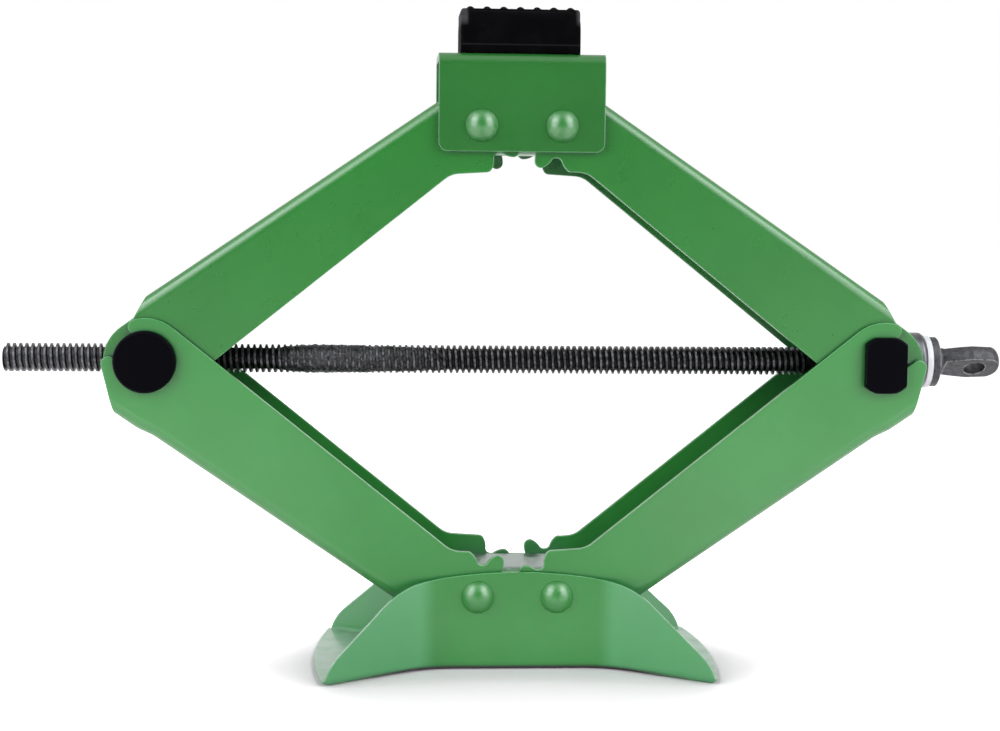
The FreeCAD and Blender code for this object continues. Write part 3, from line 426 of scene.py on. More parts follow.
def makeForging():
    material, tree, surface, place = startMaterial("phosphatedForging")
    rounded, edges = softEdges(tree, forging)
    scale = addNode(tree, "ShaderNodeTexNoise", {"Scale": perMetre(forging["scaleMm"]), "Detail": 5.0},
                    {"Vector": place})
    tint = addNode(tree, "ShaderNodeValToRGB", links={"Fac": scale.outputs["Fac"]}, stops=forging["tint"])
    # paler on the ridges: wear, and a painted highlight
    start, full = forging["rubFrom"]
    rub = addNode(tree, "ShaderNodeMapRange",
                  {"From Min": start, "From Max": full, "To Max": forging["ridgeShare"]},
                  {"Value": scale.outputs["Fac"]})
    ridgeWearAndHighlight = addNode(tree, "ShaderNodeMath", links={0: edges, 1: rub.outputs["Result"]}, operation="MULTIPLY")
    worn = addNode(tree, "ShaderNodeMix", {7: toLinear(forging["ridge"])},
                   {0: ridgeWearAndHighlight.outputs["Value"], 6: tint.outputs["Color"]}, data_type="RGBA")
    tree.links.new(worn.outputs[2], surface.inputs["Base Color"])
    surface.inputs["Metallic"].default_value = forging["metallic"]
    finishSurface(tree, surface, forging, scale.outputs["Fac"], scale.outputs["Fac"], rounded)
    return material


# Turned bearing steel: a dark hardened grey with fine rings left by the tool
turnedSteel = {
    "tint": ((0.3, "#434447"), (0.7, "#66676a")),
    "ringMm": 0.6,
    "edgeMm": 0.6,
    "roughness": (0.24, 0.38),
    "relief": (0.15, 0.05),
}


def makeTurnedSteel():
    material, tree, surface, place = startMaterial("turnedBearingSteel")
    bevel = addNode(tree, "ShaderNodeBevel", {"Radius": turnedSteel["edgeMm"] * mm}, samples=bevelSamples)
    rounded = bevel.outputs["Normal"]
    along = addNode(tree, "ShaderNodeSeparateXYZ", links={0: place})
    ringPlace = addNode(tree, "ShaderNodeCombineXYZ",
                        links={"X": along.outputs["X"], "Y": fromScrewLine(tree, place)})
    rings = addNode(tree, "ShaderNodeTexNoise", {"Scale": perMetre(turnedSteel["ringMm"]), "Detail": 2.0},
                    {"Vector": ringPlace.outputs["Vector"]})
    tint = addNode(tree, "ShaderNodeValToRGB", links={"Fac": rings.outputs["Fac"]},
                   stops=turnedSteel["tint"])
    tree.links.new(tint.outputs["Color"], surface.inputs["Base Color"])
    surface.inputs["Metallic"].default_value = 1.0
    finishSurface(tree, surface, turnedSteel, rings.outputs["Fac"], rings.outputs["Fac"], rounded)
    return material


# Zinc-plated sheet: pale bluish grey with a faint spangle, and green on its sides and underside, partly
# overspray and partly a painted reflection of the green paint near it
zinc = {
    "tint": ((0.0, "#8a968f"), (1.0, "#a6b1aa")),
    "spangleMm": 3.0,
    "overspray": "#3d8a4a",
    "oversprayShare": 0.9,
    "oversprayFrom": (0.45, 0.85),
    "underShare": -0.8,
    "edgeMm": 0.5,
    "roughness": (0.32, 0.48),
}


def makeZinc():
    material, tree, surface, place = startMaterial("zincPlatedSheet")
    bevel = addNode(tree, "ShaderNodeBevel", {"Radius": zinc["edgeMm"] * mm}, samples=bevelSamples)
    rounded = bevel.outputs["Normal"]
    spangle = addNode(tree, "ShaderNodeTexVoronoi", {"Scale": perMetre(zinc["spangleMm"])}, {"Vector": place})
    shade = addNode(tree, "ShaderNodeSeparateColor", links={"Color": spangle.outputs["Color"]})
    tint = addNode(tree, "ShaderNodeValToRGB", links={"Fac": shade.outputs["Red"]}, stops=zinc["tint"])
    facing = addNode(tree, "ShaderNodeSeparateXYZ", links={0: rounded})
    upright = addNode(tree, "ShaderNodeMath", links={0: facing.outputs["Y"]}, operation="ABSOLUTE")
    under = addNode(tree, "ShaderNodeMath", {1: zinc["underShare"]}, {0: facing.outputs["Z"]},
                    operation="MULTIPLY")
    sideAndUnderFacing = addNode(tree, "ShaderNodeMath", links={0: upright.outputs["Value"], 1: under.outputs["Value"]},
                     operation="MAXIMUM")
    # green where it faces sideways or down: overspray, and a painted reflection of the green around it
    start, full = zinc["oversprayFrom"]
    oversprayAndReflection = addNode(tree, "ShaderNodeMapRange",
                      {"From Min": start, "From Max": full, "To Max": zinc["oversprayShare"]},
                      {"Value": sideAndUnderFacing.outputs["Value"]})
    coated = addNode(tree, "ShaderNodeMix", {7: toLinear(zinc["overspray"])},
                     {0: oversprayAndReflection.outputs["Result"], 6: tint.outputs["Color"]}, data_type="RGBA")
    tree.links.new(coated.outputs[2], surface.inputs["Base Color"])
    bare = addNode(tree, "ShaderNodeMath", {0: 1.0}, {1: oversprayAndReflection.outputs["Result"]}, operation="SUBTRACT")
    tree.links.new(bare.outputs["Value"], surface.inputs["Metallic"])
    finishSurface(tree, surface, zinc, shade.outputs["Red"], normal=rounded)
    return material


# Stamped brass: warm yellow sheet with a dull drawn surface
brass = {
    "tint": ((0.35, "#97763a"), (0.65, "#b8944c")),
    "drawMm": 2.0,
    "roughness": (0.28, 0.42),
}


def makeBrass():
    material, tree, surface, place = startMaterial("stampedBrass")
    draw = addNode(tree, "ShaderNodeTexNoise", {"Scale": perMetre(brass["drawMm"]), "Detail": 4.0},
                   {"Vector": place})
    tint = addNode(tree, "ShaderNodeValToRGB", links={"Fac": draw.outputs["Fac"]}, stops=brass["tint"])
    tree.links.new(tint.outputs["Color"], surface.inputs["Base Color"])
    surface.inputs["Metallic"].default_value = 1.0
    finishSurface(tree, surface, brass, draw.outputs["Fac"])
    return material


# Moulded rubber: deep black, slightly grainy, with a waxy bloom in patches and a painted highlight on the
# edges, and grey on the parting line and the upper corners, partly rubbed and partly painted highlight
rubber = {
    "color": "#040405",
    "bloom": "#111113",
    "bloomMm": 12.0,
    "bloomFrom": (0.45, 0.75),
    "bloomShare": 0.5,
    "wearAndPaintedHighlight": "#4a4a4c",
    "lineHeightMm": 4.2,
    "lineHalfMm": 0.5,
    "lineShare": 0.2,
    "cornerMm": (2.6, 1.04),
    "cornerHeightMm": (13.0, 16.0),
    "cornerShare": 0.9,
    "grainMm": 0.8,
    "edgeMm": 0.9,
    "edgeFrom": (0.985, 0.75),
    "specular": 0.02,
    "roughness": (0.55, 0.7),
    "relief": (0.2, 0.08),
}


def addWearAndPaintedHighlights(tree, place, color):
    # Grey along the parting line and on the upper corners, partly wear and partly painted highlight
    low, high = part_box("saddle_pad")
    spot = addNode(tree, "ShaderNodeSeparateXYZ", links={0: place})
    fromLine = addNode(tree, "ShaderNodeMath", {1: low[2] + rubber["lineHeightMm"] * mm},
                       {0: spot.outputs["Z"]}, operation="SUBTRACT")
    nearLine = addNode(tree, "ShaderNodeMath", links={0: fromLine.outputs["Value"]}, operation="ABSOLUTE")
    line = addNode(tree, "ShaderNodeMapRange",
                   {"From Min": rubber["lineHalfMm"] * mm, "From Max": 0.0, "To Max": rubber["lineShare"]},
                   {"Value": nearLine.outputs["Value"]})
    aside = addNode(tree, "ShaderNodeMath", links={0: spot.outputs["X"]}, operation="ABSOLUTE")
    start, full = rubber["cornerMm"]
    ends = addNode(tree, "ShaderNodeMapRange",
                   {"From Min": high[0] - start * mm, "From Max": high[0] - full * mm},
                   {"Value": aside.outputs["Value"]})
    start, full = rubber["cornerHeightMm"]
    above = addNode(tree, "ShaderNodeMapRange",
                    {"From Min": low[2] + start * mm, "From Max": low[2] + full * mm,
                     "To Max": rubber["cornerShare"]},
                    {"Value": spot.outputs["Z"]})
    corners = addNode(tree, "ShaderNodeMath", links={0: ends.outputs["Result"], 1: above.outputs["Result"]},
                      operation="MULTIPLY")
    wearAndHighlightShare = addNode(tree, "ShaderNodeMath", links={0: corners.outputs["Value"], 1: line.outputs["Result"]},
                      operation="MAXIMUM")
    wornAndHighlighted = addNode(tree, "ShaderNodeMix", {7: toLinear(rubber["wearAndPaintedHighlight"])},
                      {0: wearAndHighlightShare.outputs["Value"], 6: color}, data_type="RGBA")
    return wornAndHighlighted.outputs[2]


def makeRubber():
    material, tree, surface, place = startMaterial("mouldedRubber")
    rounded, edges = softEdges(tree, rubber)
    bloom = addNode(tree, "ShaderNodeTexNoise", {"Scale": perMetre(rubber["bloomMm"]), "Detail": 4.0},
                    {"Vector": place})
    start, full = rubber["bloomFrom"]
    blooms = addNode(tree, "ShaderNodeMapRange",
                     {"From Min": start, "From Max": full, "To Max": rubber["bloomShare"]},
                     {"Value": bloom.outputs["Fac"]})
    bloomAndEdgeHighlight = addNode(tree, "ShaderNodeMath", links={0: edges, 1: blooms.outputs["Result"]}, operation="MAXIMUM")
    tint = addNode(tree, "ShaderNodeMix", {6: toLinear(rubber["color"]), 7: toLinear(rubber["bloom"])},
                   {0: bloomAndEdgeHighlight.outputs["Value"]}, data_type="RGBA")
    wornAndHighlighted = addWearAndPaintedHighlights(tree, place, tint.outputs[2])
    tree.links.new(wornAndHighlighted, surface.inputs["Base Color"])
    surface.inputs["Specular IOR Level"].default_value = rubber["specular"]
    grain = addNode(tree, "ShaderNodeTexNoise", {"Scale": perMetre(rubber["grainMm"]), "Detail": 3.0},
                    {"Vector": place})
    finishSurface(tree, surface, rubber, bloom.outputs["Fac"], grain.outputs["Fac"], rounded)
    return material


# Turned nylon: milky white, a little waxy, with greasy smears
nylon = {
    "tint": ((0.4, "#efefee"), (0.6, "#fcfcfc")),
    "smearMm": 5.0,
    "roughness": (0.32, 0.5),
}


def makeNylon():
    material, tree, surface, place = startMaterial("turnedNylon")
    smear = addNode(tree, "ShaderNodeTexNoise", {"Scale": perMetre(nylon["smearMm"]), "Detail": 3.0},
                    {"Vector": place})
    tint = addNode(tree, "ShaderNodeValToRGB", links={"Fac": smear.outputs["Fac"]}, stops=nylon["tint"])
    tree.links.new(tint.outputs["Color"], surface.inputs["Base Color"])
    finishSurface(tree, surface, nylon, smear.outputs["Fac"])
    return material


screwLow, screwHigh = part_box("lead_screw")
screwAxisZ = (screwLow[2] + screwHigh[2]) / 2
finishes = {
    "green_paint": makePowderCoat("greenPowderCoatedSteel"),
    "black_steel": makeBlackCap(),
    "grey_steel": makeForging(),
    "bearing_steel": makeTurnedSteel(),
    "zinc_steel": makeZinc(),
    "cage_brass": makeBrass(),
    "black_rubber": makeRubber(),
    "white_nylon": makeNylon(),
}
for entry in frame["record"]["subparts"]:
    nodeMesh = nodes[entry["node"]].data
    nodeMesh.materials.clear()
    nodeMesh.materials.append(finishes[entry["material_slot"]])
ownCoats = {  # pieces whose green or gloss differs from the lower arms'; the darker greens higher up are painted shade
    "greenPowderCoatedRivet": ("base_rivet_left", "base_rivet_right"),
    "shadedGreenPowderCoatedRivet": ("top_rivet_left", "top_rivet_right"),
    "shadedGreenPowderCoatedSteel": ("top_bracket",),
    "greenPowderCoatedFoot": ("base_plate",),
    "greenPowderCoatedUpperArm": ("upper_left_arm", "upper_right_arm"),
}
for coatName, coatedNodes in ownCoats.items():
    coatFinish = makePowderCoat(coatName)
    for nodeName in coatedNodes:
        nodes[nodeName].data.materials[0] = coatFinish
print("materials done")


def finishPiece(name, shape, material, body, sharpDegrees):
    # Turns built geometry into a smooth-shaded piece that keeps its sharp edges and rides on a body
    bmesh.ops.recalc_face_normals(shape, faces=shape.faces[:])
    for face in shape.faces:
        face.smooth = True
    for edge in shape.edges:
        edge.smooth = edge.calc_face_angle(0.0) < math.radians(sharpDegrees)
    mesh = bpy.data.meshes.new(name)
    shape.to_mesh(mesh)
    shape.free()
    mesh.materials.append(material)
    piece = bpy.data.objects.new(name, mesh)
    bpy.context.scene.collection.objects.link(piece)
    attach(piece, body)
    return piece


def onScrew(x, radius, turn):
    # Point at a distance and turn about the screw's line, from millimetres
    return x * mm, radius * math.cos(turn) * mm, screwAxisZ + radius * math.sin(turn) * mm


def skinLoops(shape, loops):
    # Joins neighbouring loops with quads and closes both ends
    size = len(loops[0])
    for first, second in zip(loops, loops[1:]):
        for step in range(size):
            after = (step + 1) % size
            shape.faces.new((first[step], first[after], second[after], second[step]))
    shape.faces.new(loops[0])
    shape.faces.new(loops[-1])


# Lead screw: a right-hand trapezoidal thread, then a plain shank and the tenon inside the eye
screw = {
    "pitch": 3.0,
    "crestRadius": 7.0,
    "rootRadius": 5.25,
    "crestWidth": 0.95,
    "flankWidth": 0.55,
    "chamfer": 0.6,
    "steps": 40,
    "spareTurns": 2,  # turns past each end, cut off again
    "cutSlack": 0.001,  # how far from the cut a vertex still counts as on it
    "threadLength": 398.1,
    "shankRadius": 6.0,
    "shankLength": 62.0,
    "shankOverlap": 1.0,
    "shankSegments": 48,
    "tenonRadius": 4.0,
    "sharpDegrees": 35,
}


def addThread(shape, startX, endX):
    pitch = screw["pitch"]
    flank = screw["flankWidth"]
    profile = [(0.0, screw["rootRadius"]), (flank, screw["crestRadius"]),
               (flank + screw["crestWidth"], screw["crestRadius"]),
               (2 * flank + screw["crestWidth"], screw["rootRadius"])]
    steps = screw["steps"]
    turns = math.ceil(screw["threadLength"] / pitch) + 2 * screw["spareTurns"]
    grid = []
    for number in range(turns * steps + 1):
        x = startX - screw["spareTurns"] * pitch + pitch * number / steps
        turn = 2 * math.pi * number / steps
        grid.append([shape.verts.new(onScrew(x + shift, radius, turn)) for shift, radius in profile])
    for number in range(turns * steps):
        here, after = grid[number], grid[number + 1]
        for side in range(3):
            shape.faces.new((here[side], after[side], after[side + 1], here[side + 1]))
        if number + 1 + steps <= turns * steps:
            nextHere, nextAfter = grid[number + steps], grid[number + 1 + steps]
            shape.faces.new((here[3], after[3], nextAfter[0], nextHere[0]))
    for x, outward in ((startX, -1), (endX, 1)):
        everything = shape.verts[:] + shape.edges[:] + shape.faces[:]
        bmesh.ops.bisect_plane(shape, geom=everything, plane_co=(x * mm, 0, 0), plane_no=(outward, 0, 0),
                               clear_outer=True)
        rim = [edge for edge in shape.edges if edge.is_boundary
               and all(abs(vert.co.x / mm - x) < screw["cutSlack"] for vert in edge.verts)]
        bmesh.ops.holes_fill(shape, edges=rim, sides=0)


def chamferEnds(shape, startX, endX):
    for vert in shape.verts:
        inside = min(vert.co.x / mm - startX, endX - vert.co.x / mm)
        most = (screw["crestRadius"] - screw["chamfer"] + max(inside, 0.0)) * mm
        radius = math.hypot(vert.co.y, vert.co.z - screwAxisZ)
        if radius > most:
            vert.co.y *= most / radius
            vert.co.z = screwAxisZ + (vert.co.z - screwAxisZ) * most / radius


def makeScrew():
    startX = screwLow[0] / mm
    endX = startX + screw["threadLength"]
    shape = bmesh.new()
    addThread(shape, startX, endX)
    chamferEnds(shape, startX, endX)
    shankEnd = endX + screw["shankLength"]
    stations = [(endX - screw["shankOverlap"], screw["shankRadius"]), (shankEnd, screw["shankRadius"]),
                (shankEnd, screw["tenonRadius"]), (screwHigh[0] / mm, screw["tenonRadius"])]
    turns = [2 * math.pi * step / screw["shankSegments"] for step in range(screw["shankSegments"])]
    loops = []
    for x, radius in stations:
        loops.append([shape.verts.new(onScrew(x, radius, turn)) for turn in turns])
    skinLoops(shape, loops)
    piece = finishPiece("leadScrewThread", shape, makeThreadSteel(), "screw",
                        screw["sharpDegrees"])
    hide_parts("lead_screw")


# Grease packed into the thread where the nut has run, lumpy and fading out at both ends
packing = {
    "startX": -119.0,
    "endX": -34.0,
    "thickX": -101.0,
    "stepX": 0.5,
    "segments": 56,
    "endRadius": 4.8,
    "leastRadius": 5.0,
    "mostRadius": 7.3,
    "fill": 1.95,
    "fillPower": 0.6,
    "lumpMm": 2.2,
    "lumpRadius": 6.5,
    "lumps": ((0.75, 1.0), (0.35, 2.7)),  # height in millimetres, and how many times finer
    "sharpDegrees": 80,
}


def makeGreasePacking():
    shape = bmesh.new()
    rings = []
    startX, thickX, endX = packing["startX"], packing["thickX"], packing["endX"]
    count = int((endX - startX) / packing["stepX"])
    for number in range(count + 1):
        x = startX + number * packing["stepX"]
        rise = min((x - startX) / (thickX - startX), 1.0)
        fade = min((endX - x) / (endX - thickX), 1.0)
        level = packing["leastRadius"] + packing["fill"] * min(rise, fade) ** packing["fillPower"]
        ring = []
        for step in range(packing["segments"]):
            turn = 2 * math.pi * step / packing["segments"]
            across = packing["lumpRadius"]
            spot = Vector((x, across * math.cos(turn), across * math.sin(turn))) / packing["lumpMm"]
            lump = sum(height * noise.noise(spot * finer) for height, finer in packing["lumps"])
            radius = packing["endRadius"]
            if 0 < number < count:
                radius = min(level + lump, packing["mostRadius"])
            ring.append(shape.verts.new(onScrew(x, radius, turn)))
        rings.append(ring)
    skinLoops(shape, rings)
    finishPiece("threadGrease", shape, makeGrease(), "screw", packing["sharpDegrees"])


makeScrew()
makeGreasePacking()
print("screw done")


# Rubber pad: a narrower ribbed crown on a fuller body, with a parting line near its foot
pad = {
    "crownDepth": 15.6,
    "crownRound": 1.3,
    "crownSteps": 4,
    "lipLeast": 0.05,  # height of the crown's side above the body's blend, at the least
    "bodyTop": 14.2,
    "bodyBlend": 6.4,
    "blendSteps": 14,
    "bodyCorner": 5.4,
    "endRound": 1.6,
    "footChamfer": 0.4,
    "partingHeight": 4.2,
    "partingProud": 0.28,
    "partingHalf": (0.35, 0.12),
    "ribSpacing": 8.12,
    "ribRadius": 2.2,
    "ribProud": 1.2,
    "ribCount": 7,
    "ribShares": (0.93, 0.86, 0.6, 0.3, 0.0),  # places across the top, from the edge to the middle
    "ribFade": 0.14,
    "endStations": (0.0, 0.08, 0.25, 0.5, 0.8, 1.2, 1.6, 2.1, 2.7, 3.4, 4.2, 5.0, 5.4),
    "stationStep": 0.35,
    "sharpDegrees": 50,
}


def cornerDrop(radius, fromEnd):
    # How far a rounded corner has fallen away at a distance from the end
    if fromEnd >= radius:
        return 0.0
    return radius - math.sqrt(radius ** 2 - (radius - fromEnd) ** 2)


def padSection(fromEnd, alongX, fullDepth, topHeight):
    # Half outline of the pad across the jack, from its foot to the middle of its top
    tuck = cornerDrop(pad["endRound"], fromEnd)
    rib = 0.0
    for number in range(pad["ribCount"]):
        away = alongX - (number - (pad["ribCount"] - 1) / 2) * pad["ribSpacing"]
        if abs(away) < pad["ribRadius"]:
            rib = max(rib, math.sqrt(pad["ribRadius"] ** 2 - away ** 2) - pad["ribRadius"] + pad["ribProud"])
    crown = pad["crownDepth"]
    points = [(fullDepth - pad["footChamfer"] - tuck, 0.0), (fullDepth - tuck, pad["footChamfer"])]
    parting = pad["partingHeight"]
    wide, narrow = pad["partingHalf"]
    for height, proud in ((-wide, 0.0), (-narrow, 1.0), (narrow, 1.0), (wide, 0.0)):
        points.append((fullDepth - tuck + proud * pad["partingProud"], parting + height))
    blendStart = pad["bodyTop"] - cornerDrop(pad["bodyCorner"], fromEnd)
    points.append((fullDepth - tuck, (parting + blendStart) / 2))
    for step in range(pad["blendSteps"] + 1):
        angle = math.pi / 2 * step / pad["blendSteps"]
        depth = crown + (fullDepth - crown) * math.cos(angle)
        points.append((depth - tuck, blendStart + pad["bodyBlend"] * math.sin(angle)))
    top = topHeight - tuck
    roundOff = pad["crownRound"]
    lip = max(top - roundOff, points[-1][1] + pad["lipLeast"])
    for step in range(pad["crownSteps"] + 1):
        angle = math.pi / 2 * step / pad["crownSteps"]
        points.append((crown - tuck - roundOff + roundOff * math.cos(angle),
                       lip + (top - lip) * math.sin(angle)))
    edge = points[-1][0]
    for share in pad["ribShares"]:
        fade = min((1 - share) / pad["ribFade"], 1.0)
        points.append((edge * share, top + rib * math.sqrt(fade)))
    return points


def makePad():
    low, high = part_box("saddle_pad")
    lowX, highX = low[0] / mm, high[0] / mm
    middle = (lowX + highX) / 2
    half = (highX - lowX) / 2
    depth = high[1] / mm
    height = (high[2] - low[2]) / mm - pad["ribProud"]
    ends = pad["endStations"]
    inner = 2 * half - 2 * ends[-1]
    count = round(inner / pad["stationStep"])
    stations = [-half + away for away in ends]
    stations += [-half + ends[-1] + inner * step / count for step in range(1, count)]
    stations += [half - away for away in reversed(ends)]
    shape = bmesh.new()
    loops = []
    for x in stations:
        section = padSection(half - abs(x), x, depth - pad["partingProud"], height)
        outline = section + [(-y, z) for y, z in reversed(section[:-1])]
        loops.append([shape.verts.new(((middle + x) * mm, y * mm, low[2] + z * mm)) for y, z in outline])
    skinLoops(shape, loops)
    piece = finishPiece("rubberSaddlePad", shape, finishes["black_rubber"], "saddle",
                        pad["sharpDegrees"])
    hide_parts("saddle_pad")


makePad()
print("pad done")


# Camera at the photograph's viewing angle
cameraSet = {
    "lensMm": 65.95,
    "sensorMm": 36.0,
    "placeMm": (-65.9, -909.9, 227.2),
    "yaw": 3.637,
    "pitch": 4.950,
    "roll": 0.593,
    "clip": (0.01, 50.0),
}


def makeCamera():
    data = bpy.data.cameras.new("photoCamera")
    data.lens = cameraSet["lensMm"]
    data.sensor_width = cameraSet["sensorMm"]
    data.sensor_fit = "HORIZONTAL"
    data.clip_start, data.clip_end = cameraSet["clip"]
    camera = bpy.data.objects.new("photoCamera", data)
    bpy.context.scene.collection.objects.link(camera)
    turn = (Matrix.Rotation(math.radians(-cameraSet["yaw"]), 4, "Z")
            @ Matrix.Rotation(math.radians(90 - cameraSet["pitch"]), 4, "X")
            @ Matrix.Rotation(math.radians(cameraSet["roll"]), 4, "Z"))
    camera.matrix_world = Matrix.Translation(Vector(cameraSet["placeMm"]) * mm) @ turn
    bpy.context.scene.camera = camera


# Studio: white paper floor that keeps the shadow, a pale room, and soft boxes at the sides, above and behind,
# with lengths in metres
studio = {
    "floorSize": 12.0,
    "floorColor": "#f6edf1",  # a trace of pink against the green that the paint throws on it
    "floorRoughness": 0.95,
    "shadeReach": 0.12,  # how close the jack has to be to shade the paper
    "shadeSamples": 16,
    "shadeLow": 0.55,  # openness at which the paper stops glowing
    "shadeHigh": (0.97, 0.84),  # openness at which it glows in full, in front and behind
    "shadeTurn": (-0.07, 0.0),
    "nearGlow": 0.44,  # share of the glow that is left close to the jack
    "nearRing": (0.1, 0.17),
    "rearRise": (-0.05, 0.06),
    "flagDim": 0.1,  # share of the glow that the jack mirrors from right in front of it
    "flagHalf": (0.06, 0.15),
    "flagDepth": (-0.2, -0.08),
    "room": 0.1,
    "frontDim": 0.08,  # share of the room that the jack mirrors from its front
    "frontTurn": (-0.95, -0.45),
    "boxTint": "#f8faff",
    "glowColor": "#ffffff",
}


def seenShare(tree, mirrorShare):
    # 1 for camera rays, and the given share for glossy and transmission rays
    rays = addNode(tree, "ShaderNodeLightPath")
    shiny = addNode(tree, "ShaderNodeMath",
                    links={0: rays.outputs["Is Glossy Ray"], 1: rays.outputs["Is Transmission Ray"]},
                    operation="MAXIMUM")
    mirrored = addNode(tree, "ShaderNodeMath", links={0: mirrorShare, 1: shiny.outputs["Value"]},
                       operation="MULTIPLY")
    seen = addNode(tree, "ShaderNodeMath",
                   links={0: rays.outputs["Is Camera Ray"], 1: mirrored.outputs["Value"]},
                   operation="MAXIMUM")
    return seen.outputs["Value"]


def paperGlow(tree, place, spot):
    # Less under the jack, which leaves its shadow, and less close in front of it
    clear = addNode(tree, "ShaderNodeAmbientOcclusion", {"Distance": studio["shadeReach"]},
                    samples=studio["shadeSamples"])
    start, full = studio["shadeTurn"]
    frontHigh, backHigh = studio["shadeHigh"]
    high = addNode(tree, "ShaderNodeMapRange",
                   {"From Min": start, "From Max": full, "To Min": frontHigh, "To Max": backHigh},
                   {"Value": spot.outputs["Y"]})
    glow = addNode(tree, "ShaderNodeMapRange", {"From Min": studio["shadeLow"]},
                   {"Value": clear.outputs["AO"], "From Max": high.outputs["Result"]},
                   interpolation_type="SMOOTHSTEP")
    away = addNode(tree, "ShaderNodeVectorMath", links={0: place}, operation="LENGTH")
    start, full = studio["nearRing"]
    ring = addNode(tree, "ShaderNodeMapRange",
                   {"From Min": start, "From Max": full, "To Min": studio["nearGlow"]},
                   {"Value": away.outputs["Value"]}, interpolation_type="SMOOTHSTEP")
    start, full = studio["rearRise"]
    rear = addNode(tree, "ShaderNodeMapRange",
                   {"From Min": start, "From Max": full, "To Min": studio["nearGlow"]},
                   {"Value": spot.outputs["Y"]}, interpolation_type="SMOOTHSTEP")
    most = addNode(tree, "ShaderNodeMath", links={0: ring.outputs["Result"], 1: rear.outputs["Result"]},
                   operation="MAXIMUM")
    topUp = addNode(tree, "ShaderNodeMath", links={0: glow.outputs["Result"], 1: most.outputs["Value"]},
                    operation="MULTIPLY")
    return topUp.outputs["Value"]


def frontFlag(tree, spot):
    # Share of the glow that the jack mirrors, dim right in front of it
    aside = addNode(tree, "ShaderNodeMath", links={0: spot.outputs["X"]}, operation="ABSOLUTE")
    start, full = studio["flagHalf"]
    beside = addNode(tree, "ShaderNodeMapRange", {"From Min": start, "From Max": full},
                     {"Value": aside.outputs["Value"]}, interpolation_type="SMOOTHSTEP")
    start, full = studio["flagDepth"]
    behind = addNode(tree, "ShaderNodeMapRange", {"From Min": start, "From Max": full},
                     {"Value": spot.outputs["Y"]}, interpolation_type="SMOOTHSTEP")
    lit = addNode(tree, "ShaderNodeMath", links={0: beside.outputs["Result"], 1: behind.outputs["Result"]},
                  operation="MAXIMUM")
    flag = addNode(tree, "ShaderNodeMapRange", {"To Min": studio["flagDim"]}, {"Value": lit.outputs["Value"]})
    return flag.outputs["Result"]


def makeFloor():
    half = studio["floorSize"] / 2
    mesh = bpy.data.meshes.new("studioFloor")
    mesh.from_pydata([(-half, -half, 0), (half, -half, 0), (half, half, 0), (-half, half, 0)], [],
                     [(0, 1, 2, 3)])
    floor = bpy.data.objects.new("studioFloor", mesh)
    bpy.context.scene.collection.objects.link(floor)
    material, tree, surface, place = startMaterial("whiteStudioPaper")
    surface.inputs["Base Color"].default_value = toLinear(studio["floorColor"])
    surface.inputs["Roughness"].default_value = studio["floorRoughness"]
    surface.inputs["Specular IOR Level"].default_value = 0.0
    surface.inputs["Emission Color"].default_value = toLinear(studio["glowColor"])
    spot = addNode(tree, "ShaderNodeSeparateXYZ", links={0: place})
    glow = paperGlow(tree, place, spot)
    seen = seenShare(tree, frontFlag(tree, spot))
    shown = addNode(tree, "ShaderNodeMath", links={0: glow, 1: seen}, operation="MULTIPLY")
    tree.links.new(shown.outputs["Value"], surface.inputs["Emission Strength"])
    mesh.materials.append(material)


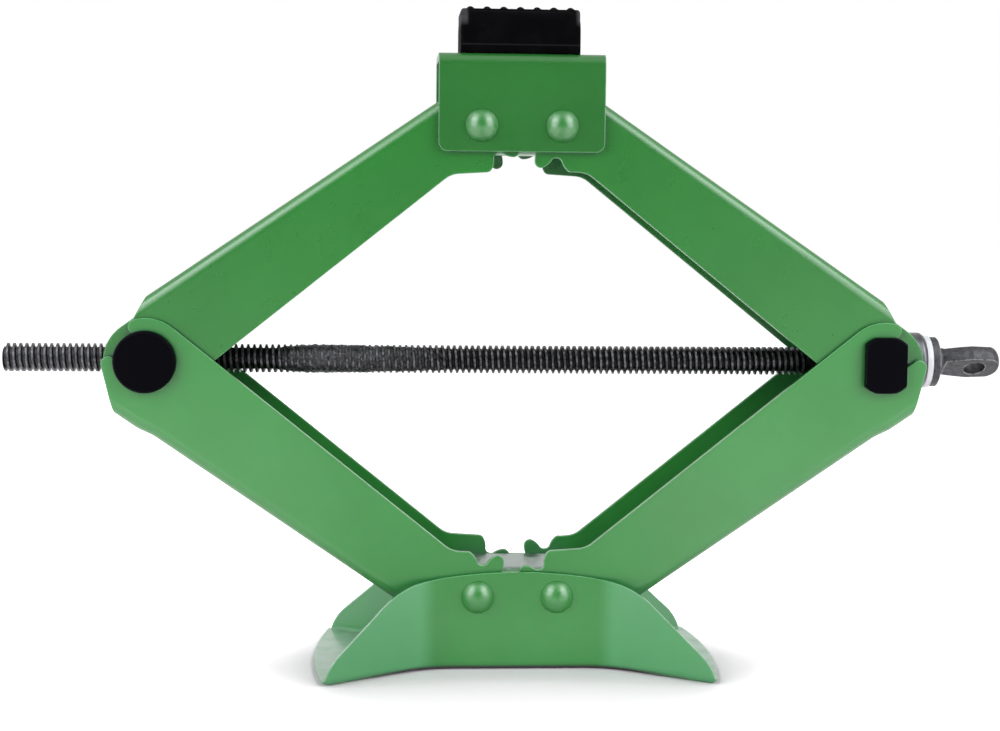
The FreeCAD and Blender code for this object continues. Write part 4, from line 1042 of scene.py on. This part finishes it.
def makeRoom():
    world = bpy.data.worlds.new("paleRoom")
    world.use_nodes = True
    tree = world.node_tree
    tree.nodes.clear()
    heading = addNode(tree, "ShaderNodeTexCoord").outputs["Generated"]
    depth = addNode(tree, "ShaderNodeSeparateXYZ", links={0: heading})
    start, full = studio["frontTurn"]
    front = addNode(tree, "ShaderNodeMapRange",
                    {"From Min": start, "From Max": full, "To Min": studio["frontDim"]},
                    {"Value": depth.outputs["Y"]}, interpolation_type="SMOOTHSTEP")
    seen = seenShare(tree, front.outputs["Result"])
    level = addNode(tree, "ShaderNodeMath", {1: studio["room"]}, {0: seen}, operation="MAXIMUM")
    light = addNode(tree, "ShaderNodeBackground", {"Color": toLinear(studio["glowColor"])},
                    {"Strength": level.outputs["Value"]})
    addNode(tree, "ShaderNodeOutputWorld", links={"Surface": light.outputs["Background"]})
    bpy.context.scene.world = world


softBoxes = {  # metres and watts, and whether the box shows in reflections and lights matt surfaces
    "overheadBox": {
        "place": (0.0, 0.4, 1.5), "aim": (0.0, 0.0, 0.1),
        "size": (1.2, 0.8), "watts": 4.0, "mirrored": False, "lighting": True,
    },
    "backBox": {
        "place": (0.0, 1.3, 0.7), "aim": (0.0, 0.0, 0.15),
        "size": (1.2, 0.6), "watts": 8.0, "mirrored": False, "lighting": True,
    },
    "leftSideBox": {
        "place": (-0.82, -0.69, 0.62), "aim": (0.0, 0.0, 0.2),
        "size": (0.85, 1.0), "watts": 9.5, "mirrored": True, "lighting": True,
    },
    "rightSideBox": {
        "place": (0.82, -0.69, 0.62), "aim": (0.0, 0.0, 0.2),
        "size": (0.85, 1.0), "watts": 9.5, "mirrored": True, "lighting": True,
    },
    "leftStreakBox": {
        "place": (-0.68, -0.4, 1.1), "aim": (0.0, 0.0, 0.27),
        "size": (0.7, 0.7), "watts": 4.5, "mirrored": True, "lighting": False,
    },
    "rightStreakBox": {
        "place": (0.68, -0.4, 1.1), "aim": (0.0, 0.0, 0.27),
        "size": (0.7, 0.7), "watts": 4.5, "mirrored": True, "lighting": False,
    },
}


def makeLights():
    for name, box in softBoxes.items():
        data = bpy.data.lights.new(name, "AREA")
        data.shape = "RECTANGLE"
        data.size, data.size_y = box["size"]
        data.energy = box["watts"]
        data.color = toLinear(studio["boxTint"])[:3]
        lamp = bpy.data.objects.new(name, data)
        bpy.context.scene.collection.objects.link(lamp)
        lamp.location = box["place"]
        lamp.rotation_euler = (Vector(box["aim"]) - Vector(box["place"])).to_track_quat("-Z", "Y").to_euler()
        lamp.visible_glossy = box["mirrored"]
        lamp.visible_diffuse = box["lighting"]


makeCamera()
makeFloor()
makeRoom()
makeLights()
bpy.context.scene.view_settings.view_transform = "Standard"
print("studio done")
